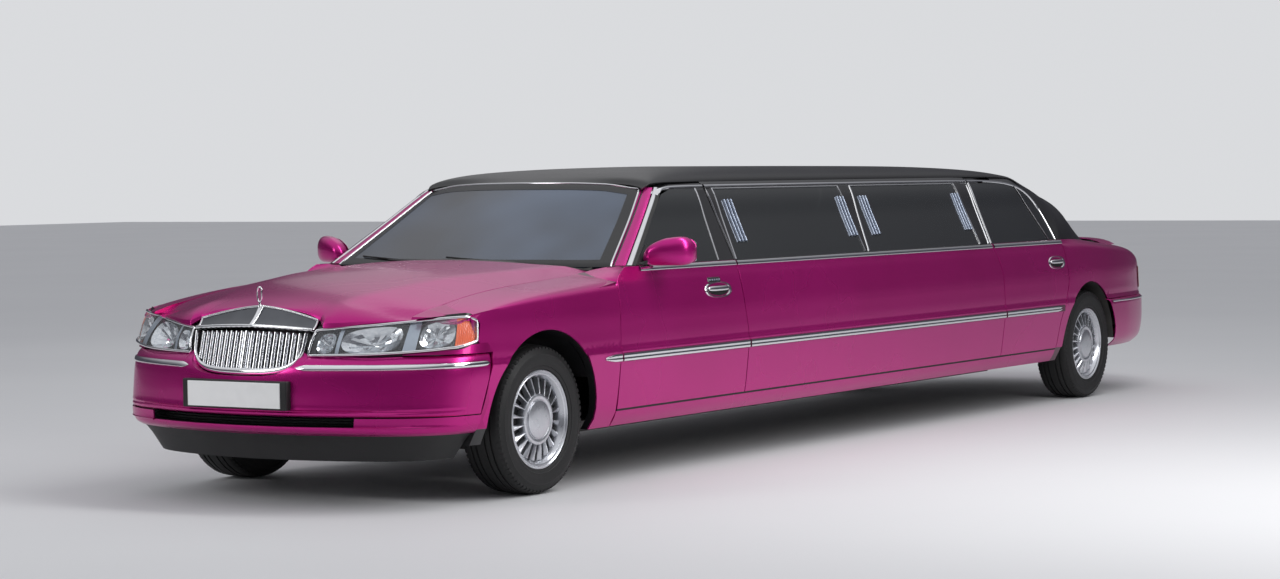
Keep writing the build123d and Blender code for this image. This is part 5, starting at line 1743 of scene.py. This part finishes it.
# Rear window. Tempered glass, tinted like the sides, glued into the vinyl roof's frame behind a thin bright
# moulding. A cloth-covered board hangs under the roof as the headlining.
back_pane = laid(steps_between(BACK_HEAD_ROW, BACK_FOOT_ROW, 44), steps_between(1, 2, 12), lambda s,
                            c: roof_place(s, c, 0.003))
whole_pane = whole(back_pane)
piece("rear_window_glass", walled(whole_pane, Vector((0, 1, 0.8)), 0.004), side_glass, "car", "glass",
      ("rear_window",))
back_bright = bmesh.new()
tube(back_bright, [roof_place(s, 1.0, -0.001) for s in steps_between(BACK_HEAD_ROW, BACK_FOOT_ROW, 50)],
     0.0055, 8)
tube(back_bright, [roof_place(BACK_HEAD_ROW, c, -0.001) for c in steps_between(1, 2, 14)], 0.0055, 8)
tube(back_bright, [roof_place(BACK_FOOT_ROW, c, -0.001) for c in steps_between(1, 2, 14)], 0.0055, 8)
whole_bright = whole(back_bright)
piece("rear_window_bright", whole_bright, chrome, "car", "chrome", sharp=60)
lining_cloth = Finish("lining_cloth", Roughness=0.9)
lining_cloth.tint(lining_cloth.cloud(14.0), (0.10, 0.10, 0.11), (0.16, 0.16, 0.17))
lining_cloth.relief(lining_cloth.cloud(700.0, 2.0), 0.0004)
lining = laid(steps_between(0.6, 10.0, 44), steps_between(0.10, 2, 14), lambda s, c: roof_place(s, c, 0.034))
whole_lining = whole(lining)
piece("headlining", walled(whole_lining, UP, 0.004), lining_cloth, "car", "trim")

# Scuttle behind the rear window. A pressed steel strip, wrapped like the body and welded between the
# quarters. The vinyl's foot is tucked under its front, and the boot lid shuts against its rear edge.
scuttle = laid(steps_between(6.800, 6.980, 6), steps_between(-0.704, 0.704, 40),
               lambda y, x: Vector((x, y, 0.9835 - 0.044 * (abs(x) / 0.704) ** 9 + 0.010 * (6.98 - y))))
piece("rear_scuttle", walled(scuttle, UP, 0.003), wrap, "car", "paint")

# Boot lid. One pressed and crowned steel lid, wrapped like the body, on two hinges hidden under its front
# edge. It turns down at the back, where a blank plate and a bright strip are screwed on.
LID_HALF = 0.700
lid_middle = path((6.985, 0.979), (7.10, 0.967), (7.20, 0.946), (7.29, 0.913), (7.345, 0.875),
                  (7.372, 0.828), (7.386, 0.777), (7.400, 0.700), (7.413, 0.624))
lid_edge = path((6.985, 0.926), (7.06, 0.898), (7.125, 0.865), (7.185, 0.831), (7.225, 0.801),
                (7.247, 0.771), (7.255, 0.736), (7.262, 0.685), (7.268, 0.624))


def lid_place(way, x, proud=0.0):
    """Over the boot lid: way 0 at its front edge to 8 at its foot, and X from the middle."""
    y, z = lid_middle(way).lerp(lid_edge(way), (abs(x) / LID_HALF) ** (2.4 + 5.6 * max(0.0, 1 - way / 2.5)))
    upright_share = min(1.0, max(0.0, (way - 3) / 3))
    return Vector((x, y + proud * upright_share, z + proud * (1 - upright_share)))


lid = laid(steps_between(0, 8, 56), steps_between(-LID_HALF, LID_HALF, 48), lid_place)
piece("boot_skin", walled(lid, Vector((0, 0.6, 1)), 0.007), wrap, "boot_lid_body", "paint", ("boot_lid",),
      bevel=0.002)
# The lid's inner frame is black, as painted shade under the lid's edges.
lid_frame = laid(steps_between(0.15, 7.8, 30), steps_between(-LID_HALF + 0.03, LID_HALF - 0.03, 12),
                 lambda way, x: lid_place(way, x, -0.028))
piece("boot_inner", walled(lid_frame, Vector((0, 0.6, 1)), 0.003), black_seal_and_gap_shade, "boot_lid_body", "trim")
boot_bright = laid(steps_between(5.35, 5.75, 6), steps_between(-0.44, 0.44, 30),
      lambda way, x: lid_place(way, x, 0.007 if 5.38 < way < 5.72 and abs(x) < 0.438 else -0.001))
REARWARD = Vector((0, 1, 0))
face_outwards(boot_bright, REARWARD)
piece("boot_bright_strip", boot_bright, chrome, "boot_lid_body", "chrome", sharp=50)
rear_holder = laid(steps_between(6.25, 7.72, 10), steps_between(-0.285, 0.285, 16),
                   lambda way, x: lid_place(way, x, 0.004 if 6.3 < way < 7.66 and abs(x) < 0.28 else -0.001))
face_outwards(rear_holder, REARWARD)
piece("rear_plate_holder", rear_holder, black_plastic, "boot_lid_body", "trim", sharp=40)
rear_plate = laid(steps_between(6.38, 7.58, 8), steps_between(-0.26, 0.26, 12), lambda way,
                              x: lid_place(way, x, 0.0065))
piece("rear_plate_blank", walled(rear_plate, REARWARD, 0.002), plate_white, "boot_lid_body",
      "paint")
# The gutter and the sheet inside the quarter beside the lid are black, as painted shade in the gap round the
# lid.
sill_of_boot = laid(steps_between(0.600, 0.905, 8), steps_between(0, 1, 4),
      lambda z, t: Vector((0.700 - 0.030 * t, 7.235 - 0.02 * t,
                           z)) if z < 0.77 else Vector((0.70 - 0.03 * t, 7.235 - (z - 0.77) * 1.9, z)))
face_outwards(sill_of_boot, Vector((-1, 0, 0)))
pair("boot_gutter", sill_of_boot, black_seal_and_gap_shade, "car", "trim")
boot_side = laid(steps_between(6.560, 7.215, 14), steps_between(0, 1, 6), lambda y, t: Vector((
    0.688, y, 0.430 + 0.495 * t * (1 - 0.55 * max(0.0, (y - 6.95) / 0.265) ** 1.6))))
face_outwards(boot_side, Vector((-1, 0, 0)))
pair("boot_side_trim", boot_side, black_seal_and_gap_shade, "car", "trim")

# Tail lamps. Ribbed red plastic wrapped round each rear corner over a silver bowl, held by screws from
# inside the boot.
red_lens = Finish("red_lens", Roughness=0.07, Coat_Weight=0.9, Coat_Roughness=0.02)
red_tone = red_lens.cloud(60.0, 2.0)
red_lens.tint(red_tone, (0.13, 0.002, 0.003), (0.24, 0.005, 0.006))
lamp_crest = through((7.03, 0.790), (7.10, 0.776), (7.17, 0.758), (7.246, 0.738))
lamp_edge, tail_lamp = bmesh.new(), bmesh.new()
patch(lamp_edge, steps_between(7.024, 7.250, 24), steps_between(0, 1, 12),
      lambda y, t: flank(y, 0.652 + (lamp_crest(y) + 0.005 - 0.652) * t, 0.003))
patch(tail_lamp, steps_between(7.030, 7.246, 24), steps_between(0, 1, 40),
      lambda y, t: flank(y, 0.658 + (lamp_crest(y) - 0.658) * t,
                         0.0065 + 0.0012 * math.cos(t * 90) * math.sin(math.pi * t)))
pair("tail_lamp_edge", walled(lamp_edge, Vector((1, 1, 0)), 0.002), lamp_black, "car", "trim")
pair("tail_lamp_lens", walled(tail_lamp, Vector((1, 1, 0)), 0.003), red_lens, "car", "lamp",
     ("tail_lamp_{}",), sharp=50)

# Rear bumper. A moulded plastic cover wrapped like the body, from the wheel arches round the tail, with a
# bright line let in along its upper edge and a lighter facet at its foot.
bumper_plan = path((0.998, 6.40), (0.985, 6.60), (0.957, 6.80), (0.908, 7.00), (0.842, 7.15), (0.745, 7.285),
                   (0.612, 7.378), (0.430, 7.438), (0.215, 7.468), (0.0, 7.477))
bumper_half = through((0.300, 0.900), (0.340, 0.948), (0.372, 0.962), (0.480, 0.974), (0.590, 0.974),
                      (0.606, 0.966), (0.612, 0.940))
bumper_tail = through((0.300, 0.097), (0.340, 0.045), (0.372, 0.027), (0.480, 0.0), (0.590, 0.005),
                      (0.606, 0.020), (0.612, 0.050))


def rear_bumper_place(way, z, proud=0.0):
    """Round the rear bumper from the arch, way 0, to the middle, way 9, at that height."""
    across, y = bumper_plan(way)
    after, before = bumper_plan(min(way + 0.05, 9)), bumper_plan(max(way - 0.05, 0))
    out = Vector((after.y - before.y, before.x - after.x, 0)).normalized()
    arch_end = REAR_ARCH_Y + math.sqrt(max(0.0, (REAR_ARCH_R + 0.004) ** 2 - (z - REAR_ARCH_Z) ** 2))
    if way < 1:
        y = arch_end + (bumper_plan(1).y - arch_end) * way
    share = min(max((y - 6.75) / 0.6, 0.0), 1.0)
    return Vector((across * bumper_half(z), y - bumper_tail(z) * share ** 1.5, z)) + out * proud


rear_levels = [0.300, 0.308, 0.322, 0.340, 0.356, 0.372, 0.390, 0.43, 0.48, 0.53, 0.57, 0.590, 0.600, 0.606,
               0.6115]
rear_cover = laid(steps_between(0, 9, 72), rear_levels, rear_bumper_place)
whole_cover = whole(rear_cover)
piece("rear_bumper_skin", walled(whole_cover, Vector((0, 0.5, 0)), 0.006), wrap, "car", "paint",
      ("rear_bumper",), bevel=0.0015)
# The black shelf behind the cover's top edge is painted shade in the gap under the boot.
rear_shelf = laid(steps_between(0.2, 9, 60), [0, 1], lambda way,
                              t: rear_bumper_place(way, 0.6105, -0.006 - 0.075 * t))
whole_shelf = whole(rear_shelf)
face_outwards(whole_shelf, UP)
piece("rear_bumper_shelf", whole_shelf, black_seal_and_gap_shade, "car", "trim")
rear_line = laid(steps_between(0.12, 9, 72), steps_between(0, 1, 5),
      lambda way, t: rear_bumper_place(way, 0.586 + 0.012 * t, 0.0045 * math.sin(math.pi * t) - 0.0005))
whole_line = whole(rear_line)
face_outwards(whole_line, Vector((0, 0.5, 0)))
piece("rear_bumper_bright", whole_line, chrome, "car", "chrome", sharp=50)

# Door mirrors. A moulded magenta shell on a black foot that is screwed to the front corner of each front
# door; the looking glass sits in its rear, and a black plate fills the window's corner.
mirror_silver = Finish("looking_glass", Metallic=1.0, Roughness=0.02)
mirror_silver.tint(mirror_silver.cloud(3.0), (0.70, 0.72, 0.74), (0.78, 0.79, 0.80))
HEAD = Vector((1.0130, 0.935, 1.064))
HEAD_HALF, HEAD_SWEEP = 0.112, 0.045
head_high = through((-1, 0.030), (-0.9, 0.040), (-0.55, 0.054), (0.0, 0.0655), (0.5, 0.068), (0.85, 0.062),
                    (1, 0.050))
head_level = through((-1, -0.030), (-0.6, -0.014), (0.0, 0.0), (0.6, 0.003), (1, -0.004))
head_deep = through((-1, 0.034), (-0.5, 0.060), (0.2, 0.070), (0.8, 0.056), (1, 0.040))


def mirror_place(u, angle):
    """Over the mirror's shell: u from its inner end to its outer end, and an angle round it from the top."""
    round_off = (1 - abs(u) ** 7) ** 0.42
    up_share, back_share = math.cos(angle), math.sin(angle)
    high = head_high(u) * round_off * bent(up_share, 0.82)
    deep = (0.044 if back_share > 0 else head_deep(u)) * round_off * bent(back_share, 0.75)
    return HEAD + Vector((HEAD_HALF * u, deep + HEAD_SWEEP * u, head_level(u) + high))


shell_mesh = laid(steps_between(-1, 1, 36), steps_between(0, math.tau, 40), mirror_place)
bmesh.ops.remove_doubles(shell_mesh, verts=shell_mesh.verts, dist=LOOSE_WELD)
bmesh.ops.recalc_face_normals(shell_mesh, faces=shell_mesh.faces)
pair("mirror_shell_{}", shell_mesh, wrap, "front_{}_door", "paint", ("door_mirror_{}",), sharp=70)
looking = laid(steps_between(-0.86, 0.88, 20), steps_between(-0.86, 0.86, 10),
               lambda u, v: HEAD + Vector((HEAD_HALF * u, 0.0455 + HEAD_SWEEP * u,
                                           head_level(u) + head_high(u) * v * (1 - abs(u) ** 8) ** 0.5)))
pair("mirror_glass_{}", walled(looking, REARWARD, 0.0015), mirror_silver, "front_{}_door", "glass")
foot = bmesh.new()
foot_line = path((0.9080, 0.868, 1.0080), (0.925, 0.880, 1.0130), (0.942, 0.895, 1.0230),
                 (0.9560, 0.908, 1.0360))


def foot_place(way, angle):
    centre = foot_line(way)
    return centre + Vector((0.004 * math.sin(angle), (0.046 - 0.006 * way) * math.cos(angle),
                            (0.0105 + 0.002 * way) * math.sin(angle)))


patch(foot, steps_between(0, 3, 15), steps_between(0, math.tau, 24), foot_place)
bmesh.ops.remove_doubles(foot, verts=foot.verts, dist=LOOSE_WELD)
bmesh.ops.recalc_face_normals(foot, faces=foot.faces)
pair("mirror_foot_{}", foot, black_plastic, "front_{}_door", "trim")
sail = laid(steps_between(0, 1, 10), steps_between(0, 1, 10),
            lambda s, t: cabin_side(0.800 + 0.165 * s, 1.003 + (0.003 + 0.092 * s) * t, 0.0035))
pair("mirror_sail_{}", walled(sail, PANE_FACE, 0.003), black_plastic, "front_{}_door", "trim",
     sharp=40)

# Wipers. Two painted steel arms with rubber blades park along the windscreen's foot, over a
# black plastic grating between the bonnet and the glass; the grating is not made here.
wipers = bmesh.new()
for pivot_u, tip_u, tip_v in ((0.62, 0.02, 0.075), (-0.10, -0.72, 0.075)):
    arm = [screen_at(pivot_u + (tip_u - pivot_u) * s, 0.012 + tip_v * 0.85 * s ** 0.8,
                     0.013) for s in steps_between(0, 0.72, 14)]
    blade_line = [screen_at(pivot_u + (tip_u - pivot_u) * s, 0.030 + tip_v * 0.9 * s,
                            0.008) for s in steps_between(0.12, 1.2, 20)]
    tube(wipers, arm, 0.0055, 8)
    tube(wipers, blade_line, 0.0042, 6)
piece("wipers", wipers, black_plastic, "car", "trim", sharp=60)

# Seats. Foam pads under soft grey-black leather, on steel frames bolted to the floor: a split front bench, a
# bench across the rear and a long one down the right side of the saloon.
leather = Finish("seat_leather", Coat_Weight=0.1, Coat_Roughness=0.3)
grain = leather.cloud(9.0, 4.0)
leather.tint(grain, (0.045, 0.043, 0.045), (0.080, 0.076, 0.078), Roughness=0.42 + 0.15 * grain)
leather.relief(leather.node("TexVoronoi", {"feature": "F1"}, {"Vector": leather.where, "Scale": 420.0}),
               0.0005, 0.4)


def cushion(middle, half, lean=0.0, channels=0, along="x"):
    """A crowned, round-edged pad. Sewn channels run across its upper face."""
    bm = bmesh.new()
    bmesh.ops.create_cube(bm, size=2.0)
    bmesh.ops.subdivide_edges(bm, edges=bm.edges, cuts=15, use_grid_fill=True)
    for corner in bm.verts:
        spot = corner.co.copy()
        spot /= (abs(spot.x) ** 7 + abs(spot.y) ** 7 + abs(spot.z) ** 7) ** (1 / 7)
        across = spot.x if along == "x" else spot.y
        crown = 0.16 * (1 - spot.x ** 2) * (1 - spot.y ** 2)
        if channels:
            seam = abs(math.cos(math.pi * channels * (across + 1) / 2)) ** 10
            crown -= 0.07 * seam * max(0.0, 1 - across ** 6)
        place = Vector((spot.x * half[0], spot.y * half[1],
                        (spot.z * (0.84 if spot.z > 0 else 1) + max(0.0, spot.z) * crown) * half[2]))
        corner.co = place
    if lean:
        bmesh.ops.rotate(bm, verts=bm.verts, cent=(0, 0, 0),
                         matrix=Matrix.Rotation(math.radians(lean), 3, "X"))
    bmesh.ops.translate(bm, verts=bm.verts, vec=middle)
    bmesh.ops.recalc_face_normals(bm, faces=bm.faces)
    return bm


def padded_piece(name, bm, stands_for=()):
    made = piece(name, bm, leather, "car", "leather", stands_for, sharp=75)


for side, sign in SIDES:
    padded_piece("front_cushion_" + side,
                 cushion((sign * 0.335, 1.535, 0.400), (0.310, 0.240, 0.088), -4, 4),
                 ("front_seat",) if side == "left" else ())
    padded_piece("front_backrest_" + side,
                 cushion((sign * 0.335, 1.870, 0.700), (0.305, 0.250, 0.060), -105, 4))
    padded_piece("rear_cushion_" + side, cushion((sign * 0.395, 5.190, 0.400), (0.380, 0.200, 0.068), -3, 5),
                 ("lounge_seat",) if side == "left" else ())
    padded_piece("rear_backrest_" + side,
                 cushion((sign * 0.395, 5.455, 0.680), (0.380, 0.215, 0.036), -104, 5))
for index in range(4):
    y = 2.50 + index * 0.70
    padded_piece("side_cushion_{}".format(index + 1),
                 cushion((-0.500, y, 0.400), (0.190, 0.343, 0.066), 0, 4, "y"))
    side_back = cushion((0, 0, 0), (0.205, 0.343, 0.034), 0, 4, "y")
    bmesh.ops.rotate(side_back, verts=side_back.verts, cent=(0, 0, 0),
                     matrix=Matrix.Rotation(math.radians(80), 3, "Y"))
    bmesh.ops.translate(side_back, verts=side_back.verts, vec=(-0.728, y, 0.680))
    padded_piece("side_backrest_{}".format(index + 1), side_back)
seat_base = bmesh.new()
for x_low, x_high, y_low, y_high in ((-0.63, 0.63, 1.33, 1.78), (-0.77, 0.77, 5.03, 5.43),
                                     (-0.76, -0.33, 2.17, 4.95)):
    block = bmesh.new()
    bmesh.ops.create_cube(block, size=1.0)
    for corner in block.verts:
        corner.co = ((x_low + x_high) / 2 + corner.co.x * (x_high - x_low),
                     (y_low + y_high) / 2 + corner.co.y * (y_high - y_low),
                     0.3135 + corner.co.z * 0.041)
    add(seat_base, block)
piece("seat_bases", seat_base, black_plastic, "car", "trim", bevel=0.004)

# Dashboard. A moulded soft plastic board with its steering column and wheel, left as it was built.
dash_grey = Finish("dash_grey", Roughness=0.55)
dash_grey.tint(dash_grey.cloud(20.0), (0.020, 0.020, 0.022), (0.040, 0.040, 0.043))
dash_grey.relief(dash_grey.cloud(500.0, 2.0), 0.0004)
refinish(dash_grey, "dashboard")
